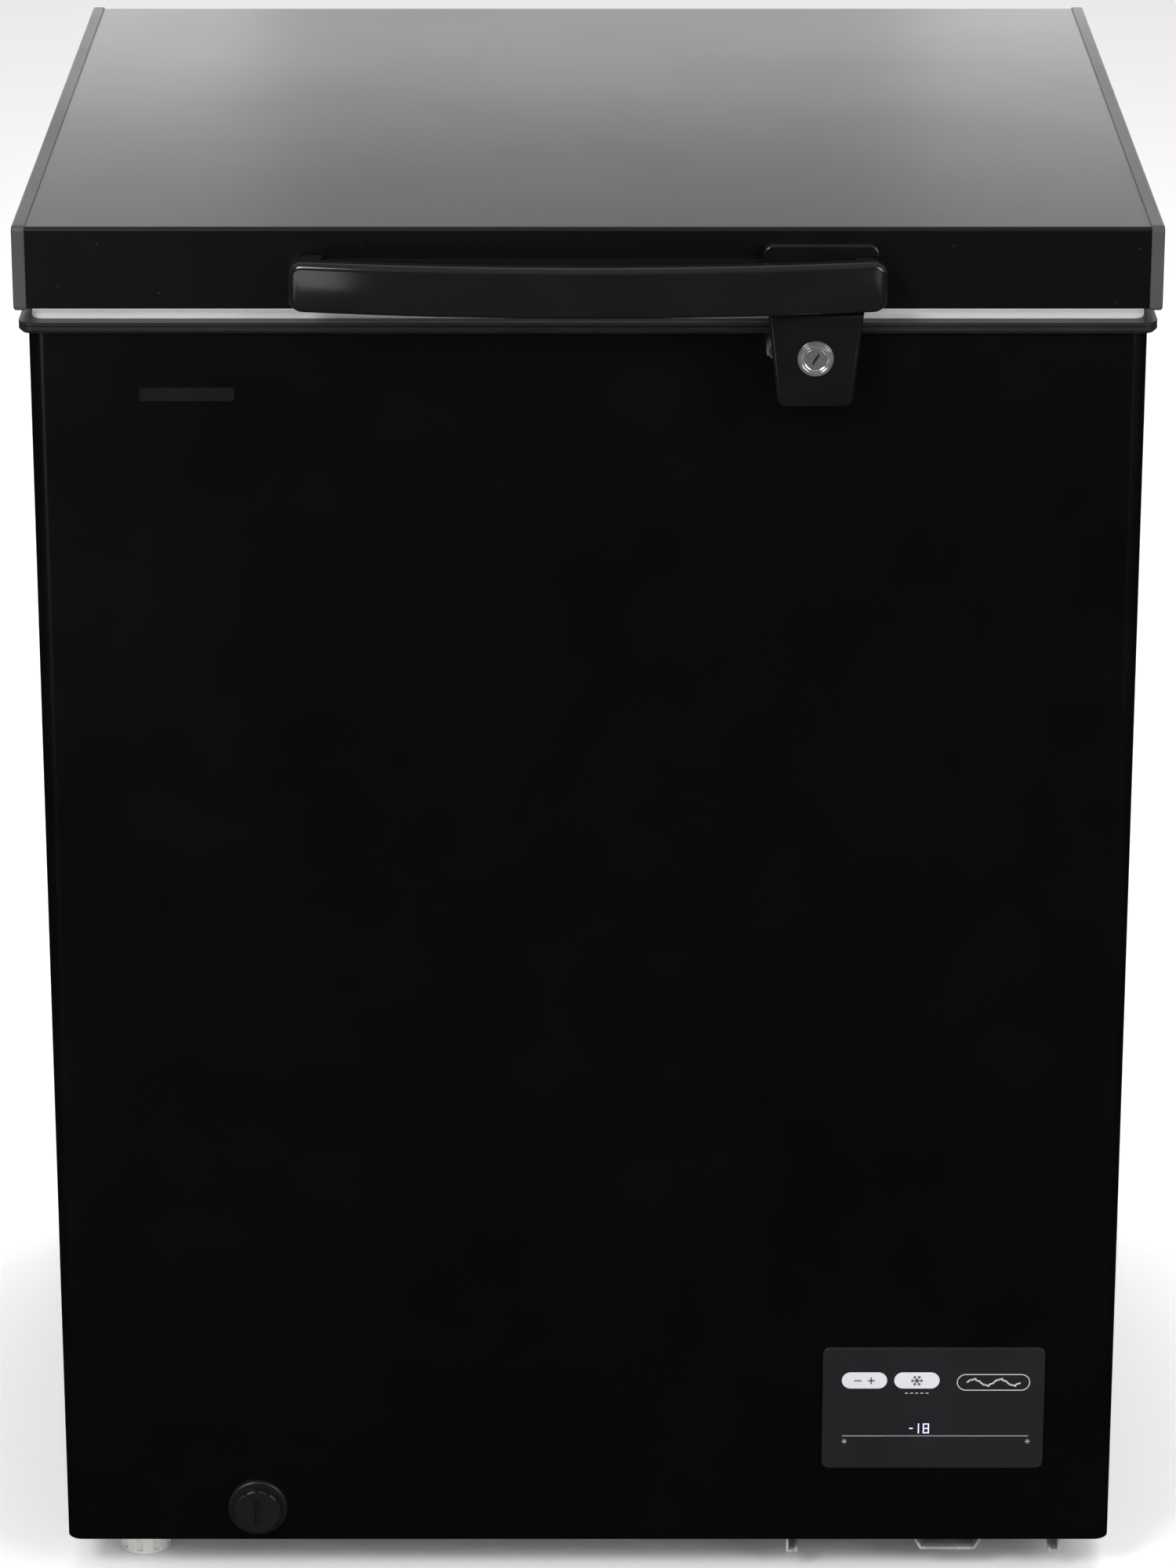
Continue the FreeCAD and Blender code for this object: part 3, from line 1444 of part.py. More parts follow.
# ---------------------------------------------------------------- basket
def basket():
    """Moulded grid basket that hangs on the collar's ledge by its front and rear rails."""
    x1 = well_half - sheet - lip_wall - basket_side_gap
    x0 = x1 - basket_width
    y0 = well_front + sheet + lip_wall + basket_gap
    y1 = well_rear - sheet - lip_wall - basket_gap
    top = ledge_z + slide_gap + basket_rail
    low = top - basket_drop
    w = basket_wall
    tub = rounded_block(x0, x1, y0, y1, low, top, 12, (0, 0, 1))
    tub = tub.cut(rounded_block(x0 + w, x1 - w, y0 + w, y1 - w, low + w, top + 1, 9, (0, 0, 1)))

    pitch = basket_cell + basket_bar
    columns_x = int((basket_width - 30) // pitch)
    columns_y = int((y1 - y0 - 30) // pitch)
    rows = int((basket_drop - 34) // pitch)
    first_x = (x0 + x1 - columns_x * pitch + basket_bar) / 2
    first_y = (y0 + y1 - columns_y * pitch + basket_bar) / 2
    first_z = low + 12
    cells = []
    for i in range(columns_x):
        x = first_x + i * pitch
        for k in range(rows):
            z = first_z + k * pitch
            cells.append(block(x, x + basket_cell, y0 - 1, y1 + 1, z, z + basket_cell))
        for j in range(columns_y):
            y = first_y + j * pitch
            cells.append(block(x, x + basket_cell, y, y + basket_cell, low - 1, low + w + 1))
    for j in range(columns_y):
        y = first_y + j * pitch
        for k in range(rows):
            z = first_z + k * pitch
            cells.append(block(x0 - 1, x1 + 1, y, y + basket_cell, z, z + basket_cell))
    tub = tub.cut(Part.Compound(cells))

    reach = ledge_width - basket_lap_gap
    z0 = ledge_z + slide_gap
    rails = [
        block(x0 + 14, x1 - 14, well_front - reach, y0 + w, z0, top),
        block(x0 + 14, x1 - 14, y1 - w, well_rear + reach, z0, top),
    ]
    return tub.fuse(rails).removeSplitter()


# ---------------------------------------------------------------- write one file per piece
def all_parts():
    parts = {
        "outer_wrap": outer_wrap(),
        "rear_panel": rear_panel(),
        "bottom_plate": bottom_plate(),
        "compartment_shroud": compartment_shroud(),
        "cabinet_foam": cabinet_foam(),
        "inner_liner": inner_liner(),
        "top_collar": top_collar(),
        "badge_bar": badge_bar(),
        "evaporator_coil": evaporator_coil(),
        "condenser_coil": condenser_coil(),
        "temperature_sensor": temperature_sensor(),
        "compressor_tray": compressor_tray(),
        "compressor_shell": compressor_shell(),
        "compressor_grommets": compressor_grommets(),
        "grommet_bolts": grommet_bolts(),
        "terminal_cover": terminal_cover(),
        "suction_tube": suction_tube(),
        "discharge_tube": discharge_tube(),
        "filter_drier": filter_drier(),
        "capillary_tube": capillary_tube(),
        "rear_cover": rear_cover(),
        "cord_gland": cord_gland(),
        "side_grille": side_grille(),
        "panel_face": panel_face(),
        "panel_box": panel_box(),
        "control_board": control_board(),
        "display_digits": display_digits(),
        "key_set": panel_key(key_lefts[0]),
        "key_fast_freeze": panel_key(key_lefts[1]),
        "drain_elbow": drain_elbow(),
        "drain_tube": drain_tube(),
        "drain_cap": drain_cap(),
        "drain_plug": drain_plug(),
        "foot_nuts": foot_nuts(),
        "lid_sheet": lid_sheet(),
        "lid_foam": lid_foam(),
        "lid_liner": lid_liner(),
        "lid_cap_left": lid_cap(-1),
        "lid_cap_right": lid_cap(1),
        "gasket": gasket(),
        "handle_base": handle_base(),
        "handle_bar": handle_bar(),
        "lock_housing": lock_housing(),
        "lock_bezel": lock_bezel(),
        "lock_cylinder": lock_cylinder(),
        "lock_cam": lock_cam(),
        "lock_keeper": lock_keeper(),
        "hinge_bracket_left": hinge_bracket(-hinge_x),
        "hinge_bracket_right": hinge_bracket(hinge_x),
        "hinge_leaf_left": hinge_leaf(-hinge_x),
        "hinge_leaf_right": hinge_leaf(hinge_x),
        "hinge_pins": hinge_pins(),
        "hinge_springs": hinge_springs(),
        "cabinet_screws": cabinet_screws(),
        "lid_screws": lid_screws(),
        "basket": basket(),
    }
    for name, x, y, level, thickness in feet():
        parts[name] = foot(x, y, level, thickness)
    return parts


os.makedirs("parts", exist_ok=True)
for name, shape in all_parts().items():
    assert shape.isValid(), name + " is not a valid shape"
    shape.exportStep("parts/" + name + ".step")
    print(name, len(shape.Solids), round(shape.Volume / 1000, 2), "cm3")
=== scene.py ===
import math

import bmesh
import bpy
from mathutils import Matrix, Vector


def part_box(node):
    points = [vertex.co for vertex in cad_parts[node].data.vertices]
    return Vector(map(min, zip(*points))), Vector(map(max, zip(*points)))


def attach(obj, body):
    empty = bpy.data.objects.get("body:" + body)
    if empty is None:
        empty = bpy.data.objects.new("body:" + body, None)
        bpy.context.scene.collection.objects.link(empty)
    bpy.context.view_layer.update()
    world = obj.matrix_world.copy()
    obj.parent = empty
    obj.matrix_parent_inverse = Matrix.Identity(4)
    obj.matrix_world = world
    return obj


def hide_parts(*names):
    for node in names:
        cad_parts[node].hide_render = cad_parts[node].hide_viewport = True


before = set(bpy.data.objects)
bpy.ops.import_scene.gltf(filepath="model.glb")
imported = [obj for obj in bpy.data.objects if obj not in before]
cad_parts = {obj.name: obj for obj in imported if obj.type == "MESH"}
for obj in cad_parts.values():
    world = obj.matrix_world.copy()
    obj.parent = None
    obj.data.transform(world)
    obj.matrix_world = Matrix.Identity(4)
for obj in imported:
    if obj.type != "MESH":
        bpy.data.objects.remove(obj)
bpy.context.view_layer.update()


# ------------------------------------------------------------------ cabinet sheet
# The wrap is one steel sheet bent round the front and both sides, baked with black gloss
# enamel. Enamel has a slight orange peel, and it is never quite equally glossy all over.
def put(tree, kind, values=None, **settings):
    """A new node with its settings and the values of its unlinked sockets."""
    node = tree.nodes.new(kind)
    for key, value in settings.items():
        setattr(node, key, value)
    for key, value in (values or {}).items():
        node.inputs[key].default_value = value
    return node


def effect(name, inputs, outputs):
    """An empty node group with named sockets, given as (name, kind, default) rows."""
    group = bpy.data.node_groups.new(name, "ShaderNodeTree")
    for label, kind, value in inputs:
        socket = group.interface.new_socket(label, in_out="INPUT", socket_type=kind)
        socket.default_value = value
    for label, kind in outputs:
        group.interface.new_socket(label, in_out="OUTPUT", socket_type=kind)
    return group, group.nodes.new("NodeGroupInput"), group.nodes.new("NodeGroupOutput")


# Fine relief: orange peel, moulded grain or brush marks, by its scale and stretch.
relief, given, result = effect(
    "fine_relief",
    [("Scale", "NodeSocketFloat", 400.0), ("Stretch", "NodeSocketVector", (1, 1, 1))],
    [("Height", "NodeSocketFloat")],
)
place = put(relief, "ShaderNodeTexCoord")
drawn = put(relief, "ShaderNodeVectorMath", operation="MULTIPLY")
noise = put(relief, "ShaderNodeTexNoise", {"Detail": 3.0, "Roughness": 0.55})
relief.links.new(place.outputs["Object"], drawn.inputs[0])
relief.links.new(given.outputs["Stretch"], drawn.inputs[1])
relief.links.new(drawn.outputs[0], noise.inputs["Vector"])
relief.links.new(given.outputs["Scale"], noise.inputs["Scale"])
relief.links.new(noise.outputs["Fac"], result.inputs["Height"])

# Uneven gloss: wiped and handled areas shine a little more or less than the rest.
gloss, given, result = effect(
    "uneven_gloss",
    [
        ("Scale", "NodeSocketFloat", 6.0),
        ("Low", "NodeSocketFloat", 0.3),
        ("High", "NodeSocketFloat", 0.4),
    ],
    [("Roughness", "NodeSocketFloat")],
)
place = put(gloss, "ShaderNodeTexCoord")
noise = put(gloss, "ShaderNodeTexNoise", {"Detail": 4.0, "Roughness": 0.6})
spread = put(gloss, "ShaderNodeMapRange", {"From Min": 0.3, "From Max": 0.7})
gloss.links.new(place.outputs["Object"], noise.inputs["Vector"])
gloss.links.new(given.outputs["Scale"], noise.inputs["Scale"])
gloss.links.new(noise.outputs["Fac"], spread.inputs["Value"])
gloss.links.new(given.outputs["Low"], spread.inputs["To Min"])
gloss.links.new(given.outputs["High"], spread.inputs["To Max"])
gloss.links.new(spread.outputs["Result"], result.inputs["Roughness"])

# Mottled colour with a few specks of dust, most of it where the surface looks up.
mottle, given, result = effect(
    "mottle_and_dust",
    [
        ("Colour", "NodeSocketColor", (0.5, 0.5, 0.5, 1)),
        ("Other", "NodeSocketColor", (0.5, 0.5, 0.5, 1)),
        ("Scale", "NodeSocketFloat", 20.0),
        ("Dust", "NodeSocketFloat", 0.0),
    ],
    [("Colour", "NodeSocketColor")],
)
place = put(mottle, "ShaderNodeTexCoord")
noise = put(mottle, "ShaderNodeTexNoise", {"Detail": 5.0, "Roughness": 0.6})
contrast = put(mottle, "ShaderNodeMapRange", {"From Min": 0.35, "From Max": 0.65})
blend = put(mottle, "ShaderNodeMix", data_type="RGBA")
specks = put(mottle, "ShaderNodeTexVoronoi", {"Scale": 90.0, "Randomness": 1.0})
speck_size = put(
    mottle, "ShaderNodeMapRange", {"From Min": 0.05, "From Max": 0.02, "To Min": 0.0, "To Max": 1.0}
)
upward = put(mottle, "ShaderNodeSeparateXYZ")
facing = put(mottle, "ShaderNodeMapRange", {"From Min": -0.4, "From Max": 1.0, "To Min": 0.15})
speck_mask = put(mottle, "ShaderNodeMath", operation="MULTIPLY")
dust_mask = put(mottle, "ShaderNodeMath", operation="MULTIPLY")
dusted = put(mottle, "ShaderNodeMix", {"B": (0.32, 0.31, 0.29, 1)}, data_type="RGBA")
mottle.links.new(place.outputs["Object"], noise.inputs["Vector"])
mottle.links.new(place.outputs["Object"], specks.inputs["Vector"])
mottle.links.new(place.outputs["Normal"], upward.inputs[0])
mottle.links.new(given.outputs["Scale"], noise.inputs["Scale"])
mottle.links.new(noise.outputs["Fac"], contrast.inputs["Value"])
mottle.links.new(contrast.outputs["Result"], blend.inputs["Factor"])
mottle.links.new(given.outputs["Colour"], blend.inputs["A"])
mottle.links.new(given.outputs["Other"], blend.inputs["B"])
mottle.links.new(specks.outputs["Distance"], speck_size.inputs["Value"])
mottle.links.new(upward.outputs["Z"], facing.inputs["Value"])
mottle.links.new(speck_size.outputs["Result"], speck_mask.inputs[0])
mottle.links.new(facing.outputs["Result"], speck_mask.inputs[1])
mottle.links.new(speck_mask.outputs[0], dust_mask.inputs[0])
mottle.links.new(given.outputs["Dust"], dust_mask.inputs[1])
mottle.links.new(dust_mask.outputs[0], dusted.inputs["Factor"])
mottle.links.new(blend.outputs["Result"], dusted.inputs["A"])
mottle.links.new(dusted.outputs["Result"], result.inputs["Colour"])


def finish(
    name, colour, other, gloss_range, grain, depth, metallic=0.0, stretch=(1, 1, 1),
    mottle_scale=20.0, dust=0.0, cloud=6.0,
):
    """A procedural finish: mottled colour, uneven gloss and fine relief of that depth in metres."""
    material = bpy.data.materials.new(name)
    material.use_nodes = True
    tree = material.node_tree
    shader = tree.nodes["Principled BSDF"]
    shader.inputs["Metallic"].default_value = metallic
    colours = put(tree, "ShaderNodeGroup", node_tree=mottle)
    colours.inputs["Colour"].default_value = (*colour, 1)
    colours.inputs["Other"].default_value = (*other, 1)
    colours.inputs["Scale"].default_value = mottle_scale
    colours.inputs["Dust"].default_value = dust
    shine = put(tree, "ShaderNodeGroup", node_tree=gloss)
    shine.inputs["Scale"].default_value = cloud
    shine.inputs["Low"].default_value = gloss_range[0]
    shine.inputs["High"].default_value = gloss_range[1]
    texture = put(tree, "ShaderNodeGroup", node_tree=relief)
    texture.inputs["Scale"].default_value = grain
    texture.inputs["Stretch"].default_value = stretch
    bump = put(tree, "ShaderNodeBump", {"Strength": 1.0, "Distance": depth})
    tree.links.new(colours.outputs["Colour"], shader.inputs["Base Color"])
    tree.links.new(shine.outputs["Roughness"], shader.inputs["Roughness"])
    tree.links.new(texture.outputs["Height"], bump.inputs["Height"])
    tree.links.new(bump.outputs["Normal"], shader.inputs["Normal"])
    return material


def dress(names, material, roll=0.0, crease=32):
    """Gives CAD nodes their finish, soft shading and, where asked, a rolled edge."""
    for name in names:
        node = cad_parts[name]
        node.data.materials.clear()
        node.data.materials.append(material)
        node.data.polygons.foreach_set("use_smooth", [True] * len(node.data.polygons))
        weld = node.modifiers.new("weld", "WELD")
        weld.merge_threshold = 1e-5
        if roll:
            bevel = node.modifiers.new("roll", "BEVEL")
            bevel.width = roll
            bevel.segments = 2
            bevel.limit_method = "ANGLE"
            bevel.angle_limit = math.radians(40)
        split = node.modifiers.new("crease", "EDGE_SPLIT")
        split.split_angle = math.radians(crease)
        split.use_edge_sharp = False
        even = node.modifiers.new("even", "WEIGHTED_NORMAL")
        even.keep_sharp = True


black_enamel = finish(
    "black_enamel", (0.0010, 0.00104, 0.00112), (0.0014, 0.00145, 0.00158), (0.24, 0.30),
    grain=620.0, depth=0.000006, dust=0.06)
dress(["outer_wrap"], black_enamel)


# ------------------------------------------------------------------ back and base sheets
# The flat back is steel in grey primer enamel. The base, the compressor compartment's walls
# and the tray are hot-dip galvanised sheet, whose zinc freezes in large bright crystals.
grey_enamel = finish(
    "grey_enamel", (0.40, 0.41, 0.42), (0.44, 0.45, 0.46), (0.36, 0.46),
    grain=520.0, depth=0.00001, dust=0.4)
dress(["rear_panel", "rear_cover"], grey_enamel)

spangle, given, result = effect(
    "zinc_spangle",
    [("Scale", "NodeSocketFloat", 110.0), ("Colour", "NodeSocketColor", (0.5, 0.5, 0.5, 1))],
    [("Colour", "NodeSocketColor"), ("Roughness", "NodeSocketFloat")],
)
place = put(spangle, "ShaderNodeTexCoord")
warp = put(spangle, "ShaderNodeTexNoise", {"Scale": 90.0, "Detail": 2.0})
shifted = put(spangle, "ShaderNodeMix", {"Factor": 0.012}, data_type="VECTOR")
crystals = put(spangle, "ShaderNodeTexVoronoi", {"Randomness": 1.0})
lightness = put(spangle, "ShaderNodeMapRange", {"To Min": 0.62, "To Max": 1.05})
tinted = put(spangle, "ShaderNodeVectorMath", operation="SCALE")
dulled = put(spangle, "ShaderNodeMapRange", {"To Min": 0.26, "To Max": 0.5})
single = put(spangle, "ShaderNodeSeparateColor")
spangle.links.new(place.outputs["Object"], warp.inputs["Vector"])
spangle.links.new(place.outputs["Object"], shifted.inputs["A"])
spangle.links.new(warp.outputs["Color"], shifted.inputs["B"])
spangle.links.new(shifted.outputs["Result"], crystals.inputs["Vector"])
spangle.links.new(given.outputs["Scale"], crystals.inputs["Scale"])
spangle.links.new(crystals.outputs["Color"], single.inputs["Color"])
spangle.links.new(single.outputs["Red"], lightness.inputs["Value"])
spangle.links.new(single.outputs["Green"], dulled.inputs["Value"])
spangle.links.new(given.outputs["Colour"], tinted.inputs[0])
spangle.links.new(lightness.outputs["Result"], tinted.inputs["Scale"])
spangle.links.new(tinted.outputs[0], result.inputs["Colour"])
spangle.links.new(dulled.outputs["Result"], result.inputs["Roughness"])

galvanised = finish(
    "galvanised_sheet", (0.6, 0.61, 0.62), (0.5, 0.51, 0.52), (0.3, 0.45),
    grain=300.0, depth=0.000004, metallic=0.45)
tree = galvanised.node_tree
crystal_look = put(tree, "ShaderNodeGroup", node_tree=spangle)
crystal_look.inputs["Colour"].default_value = (0.60, 0.61, 0.62, 1)
for unused in [node for node in tree.nodes if getattr(node, "node_tree", None) in (mottle, gloss)]:
    tree.nodes.remove(unused)
tree.links.new(crystal_look.outputs["Colour"], tree.nodes["Principled BSDF"].inputs["Base Color"])
tree.links.new(crystal_look.outputs["Roughness"], tree.nodes["Principled BSDF"].inputs["Roughness"])
dress(["bottom_plate", "compartment_shroud", "compressor_tray"], galvanised)


# ------------------------------------------------------------------ insulation and liner
# Foam is injected between the sheets and sets as a pale cellular block. The tub inside is
# thin white enamelled sheet with a pressed stucco, so that scratches and frost show less.
foam = finish(
    "insulating_foam", (0.80, 0.75, 0.56), (0.70, 0.64, 0.44), (0.75, 0.9),
    grain=900.0, depth=0.0002, mottle_scale=60.0)
dress(["cabinet_foam", "lid_foam"], foam)

liner_enamel = finish(
    "white_liner_enamel", (0.80, 0.81, 0.81), (0.77, 0.78, 0.78), (0.28, 0.36),
    grain=170.0, depth=0.00012, dust=0.1)
dress(["inner_liner"], liner_enamel)


# ------------------------------------------------------------------ collar
# A moulded frame in near-black polypropylene snaps over the cabinet's top edge. It has the
# fine spark-eroded grain of its mould, and carries the gasket and the basket's ledge.
collar_plastic = finish(
    "collar_plastic", (0.0115, 0.012, 0.013), (0.0135, 0.014, 0.015), (0.34, 0.44),
    grain=1500.0, depth=0.00002, dust=0.4)
dress(["top_collar"], collar_plastic, roll=0.0005)


# ------------------------------------------------------------------ cooling circuit
# Aluminium evaporator tube round the tub, black-painted steel condenser tube behind the
# sheet, and brazed copper pipes in the compartment, hazed by handling.
aluminium = finish(
    "aluminium_tube", (0.66, 0.67, 0.68), (0.58, 0.59, 0.60), (0.3, 0.42),
    grain=500.0, depth=0.00001, metallic=1.0)
dress(["evaporator_coil"], aluminium)
painted_tube = finish(
    "painted_tube", (0.03, 0.03, 0.03), (0.045, 0.045, 0.045), (0.35, 0.5),
    grain=500.0, depth=0.00001)
dress(["condenser_coil"], painted_tube)
copper = finish(
    "copper_tube", (0.72, 0.36, 0.21), (0.50, 0.24, 0.14), (0.18, 0.38),
    grain=400.0, depth=0.000008, metallic=1.0, mottle_scale=70.0)
dress(["suction_tube", "discharge_tube", "filter_drier", "capillary_tube"], copper)


# ------------------------------------------------------------------ compressor
# A deep-drawn steel pot welded round its middle and dipped in black paint. It stands on
# rubber grommets, which zinc-plated bolts hold to the tray.
pot_paint = finish(
    "pot_paint", (0.010, 0.010, 0.011), (0.016, 0.016, 0.017), (0.22, 0.36),
    grain=260.0, depth=0.00004, dust=1.0)
dress(["compressor_shell"], pot_paint)
rubber = finish(
    "black_rubber", (0.020, 0.020, 0.020), (0.030, 0.030, 0.029), (0.6, 0.75),
    grain=900.0, depth=0.00003)
dress(["compressor_grommets", "cord_gland"], rubber)
zinc_plate = finish(
    "zinc_plated_steel", (0.60, 0.59, 0.55), (0.50, 0.50, 0.47), (0.24, 0.38),
    grain=300.0, depth=0.00001, metallic=1.0, stretch=(1, 1, 6), mottle_scale=45.0)
dress(["grommet_bolts", "foot_nuts"], zinc_plate)
black_moulding = finish(
    "black_moulding", (0.020, 0.020, 0.021), (0.026, 0.026, 0.027), (0.4, 0.52),
    grain=1100.0, depth=0.00003, dust=0.4)
dress(["terminal_cover", "side_grille"], black_moulding, roll=0.0004)


# ------------------------------------------------------------------ control panel
# A grained charcoal face plate over a moulded box and its circuit board. Two pale membrane
# keys show through it, and a small display glows behind the plate.
panel_plastic = finish(
    "panel_plastic", (0.0092, 0.0095, 0.0112), (0.0112, 0.0115, 0.0132), (0.38, 0.46),
    grain=1800.0, depth=0.00002)
dress(["panel_face"], panel_plastic)
box_plastic = finish(
    "panel_box_plastic", (0.68, 0.68, 0.66), (0.62, 0.62, 0.60), (0.45, 0.6),
    grain=900.0, depth=0.00003)
dress(["panel_box"], box_plastic)
board_lacquer = finish(
    "board_lacquer", (0.015, 0.13, 0.05), (0.03, 0.22, 0.09), (0.2, 0.35),
    grain=700.0, depth=0.00005, mottle_scale=220.0)
dress(["control_board"], board_lacquer)
key_plastic = finish(
    "key_plastic", (0.52, 0.53, 0.55), (0.56, 0.57, 0.59), (0.4, 0.5),
    grain=1500.0, depth=0.00001)
dress(["key_set", "key_fast_freeze"], key_plastic)

lit = finish(
    "lit_segments", (0.60, 0.56, 0.95), (0.66, 0.62, 1.0), (0.3, 0.4), grain=900.0, depth=0.000005)
lit.node_tree.nodes["Principled BSDF"].inputs["Emission Color"].default_value = (0.50, 0.43, 1.0, 1)
lit.node_tree.nodes["Principled BSDF"].inputs["Emission Strength"].default_value = 0.9
dress(["display_digits"], lit)


# The marks are screen-printed ink: a rule across the plate with a crystal at each end, an
# outlined pill with a wave in it, and a minus, a plus and a snow star on the keys.
def begin(name, add, **where):
    """Adds a primitive with nothing else selected and opens it in edit mode."""
    bpy.ops.object.select_all(action="DESELECT")
    add(**where)
    piece = bpy.context.object
    piece.name = name
    piece.data.name = name
    bpy.ops.object.transform_apply(location=True, rotation=True, scale=True)
    bpy.ops.object.mode_set(mode="EDIT")
    return piece


def pick(kind, rule):
    """Selects the faces, edges or verts of the open mesh whose middle passes the rule."""
    bpy.ops.mesh.select_mode(type=kind)
    bpy.ops.mesh.select_all(action="DESELECT")
    mesh = bmesh.from_edit_mesh(bpy.context.object.data)
    mesh.normal_update()
    if kind == "FACE":
        for face in mesh.faces:
            face.select_set(bool(rule(face.calc_center_median(), face.normal)))
    elif kind == "EDGE":
        for edge in mesh.edges:
            a, b = edge.verts[0].co, edge.verts[1].co
            edge.select_set(bool(rule((a + b) / 2, b - a)))
    else:
        for vert in mesh.verts:
            vert.select_set(bool(rule(vert.co, vert.normal)))
    mesh.select_flush_mode()
    bmesh.update_edit_mesh(bpy.context.object.data)


def complete(piece, body, material, replaced=(), angle=35):
    """Closes the mesh, shades it, gives it its finish and hangs it on its body."""
    bpy.ops.object.mode_set(mode="OBJECT")
    bpy.ops.object.shade_smooth_by_angle(angle=math.radians(angle))
    piece.data.materials.clear()
    piece.data.materials.append(material)
    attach(piece, body)
    if replaced:
        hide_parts(*replaced)


def join(name, pieces):
    """Joins the pieces into the first of them, under that name."""
    bpy.ops.object.select_all(action="DESELECT")
    for piece in pieces:
        piece.select_set(True)
    bpy.context.view_layer.objects.active = pieces[0]
    bpy.ops.object.join()
    pieces[0].name = name
    pieces[0].data.name = name
    return pieces[0]


white_ink = finish(
    "white_ink", (0.42, 0.43, 0.44), (0.37, 0.38, 0.39), (0.5, 0.6), grain=2500.0, depth=0.000005)
grey_ink = finish(
    "grey_ink", (0.10, 0.10, 0.105), (0.13, 0.13, 0.135), (0.5, 0.6), grain=2500.0, depth=0.000005)

ink = 0.00006
face_low, face_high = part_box("panel_face")
plate_y = face_low.y


def print_bar(x, z, width, height, turn=0.0, front=plate_y):
    """One stroke of ink: a thin bar with softened ends."""
    piece = begin("stroke", bpy.ops.mesh.primitive_cube_add, size=1, location=(0, 0, 0))
    bpy.ops.transform.resize(value=(width, ink, height))
    pick("EDGE", lambda middle, run: abs(run.y) > ink / 2)
    bpy.ops.mesh.bevel(offset=min(width, height) * 0.45, segments=3, affect="EDGES")
    bpy.ops.object.mode_set(mode="OBJECT")
    piece.rotation_euler = (0, turn, 0)
    piece.location = (x, front - ink / 2, z)
    bpy.ops.object.transform_apply(location=True, rotation=True, scale=True)
    return piece


def print_ring(x, z, width, height, line, front=plate_y):
    """A pill-shaped outline: a bevelled block, inset, with its middle taken out."""
    piece = begin("outline", bpy.ops.mesh.primitive_cube_add, size=1, location=(0, 0, 0))
    bpy.ops.transform.resize(value=(width, ink, height))
    bpy.ops.transform.translate(value=(x, front - ink / 2, z))
    pick("EDGE", lambda middle, run: abs(run.y) > ink / 2)
    bpy.ops.mesh.bevel(offset=height * 0.499, segments=10, affect="EDGES")
    pick("FACE", lambda middle, normal: abs(normal.y) > 0.9)
    bpy.ops.mesh.inset(thickness=line, depth=0)
    bpy.ops.mesh.bridge_edge_loops()
    bpy.ops.object.mode_set(mode="OBJECT")
    return piece


panel_left = face_low.x
panel_bottom = face_low.z
rule_x = panel_left + 0.0682
rule_z = panel_bottom + 0.0217
rule_length = 0.1123
rule_line = 0.00034
strokes = [print_bar(rule_x, rule_z, rule_length, rule_line)]
pill_x = panel_left + 0.1027
pill_z = panel_bottom + 0.0575
pill_line = 0.0006
strokes.append(print_ring(pill_x, pill_z, 0.0441, 0.0110, pill_line))
wave_width = 0.032
wave_height = 0.0020
wave_steps = 12
for step in range(wave_steps):
    phase = step / wave_steps * 4 * math.pi
    slope = math.atan2(math.cos(phase) * wave_height * 4 * math.pi, wave_width)
    wave_x = pill_x - wave_width / 2 + wave_width * (step + 0.5) / wave_steps
    wave_z = pill_z + wave_height * math.sin(phase + 2 * math.pi / wave_steps)
    strokes.append(print_bar(wave_x, wave_z, 0.0036, 0.0010, -slope))
crystal_z = rule_z - 0.0036
crystal_size = 0.0032
for crystal_x in (panel_left + 0.0135, panel_left + 0.1240):
    for turn in range(3):
        strokes.append(
            print_bar(crystal_x, crystal_z, crystal_size, 0.00032, turn * math.pi / 3))
dots_x = panel_left + 0.0505
dots_z = panel_bottom + 0.0503
dot_pitch = 0.0031
for dot in range(5):
    strokes.append(print_bar(dots_x + dot * dot_pitch, dots_z, 0.0018, 0.0006))
panel_print = join("panel_print", strokes)
complete(panel_print, "cabinet", white_ink)

sign_offset = 0.0040
sign_length = 0.0046
sign_line = 0.0009
tip_reach = 0.0027
for key, mark in (("key_set", "set_mark"), ("key_fast_freeze", "fast_freeze_mark")):
    low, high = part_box(key)
    x, z, y = (low.x + high.x) / 2, (low.z + high.z) / 2, low.y
    if key == "key_set":
        strokes = [
            print_bar(x - sign_offset, z, sign_length, sign_line, front=y),
            print_bar(x + sign_offset, z, sign_length, sign_line, front=y),
            print_bar(x + sign_offset, z, sign_length, sign_line, math.pi / 2, front=y),
        ]
    else:
        strokes = [
            print_bar(x, z, 0.0074, 0.0008, turn * math.pi / 3, front=y) for turn in range(3)]
        for turn in range(6):
            angle = turn * math.pi / 3
            tip_x = x + tip_reach * math.cos(angle)
            tip_z = z - tip_reach * math.sin(angle)
            strokes.append(
                print_bar(tip_x, tip_z, 0.0022, 0.0006, angle + math.pi / 2, front=y))
    body = "set_key" if key == "key_set" else "fast_freeze_key"
    complete(join(mark, strokes), body, grey_ink)


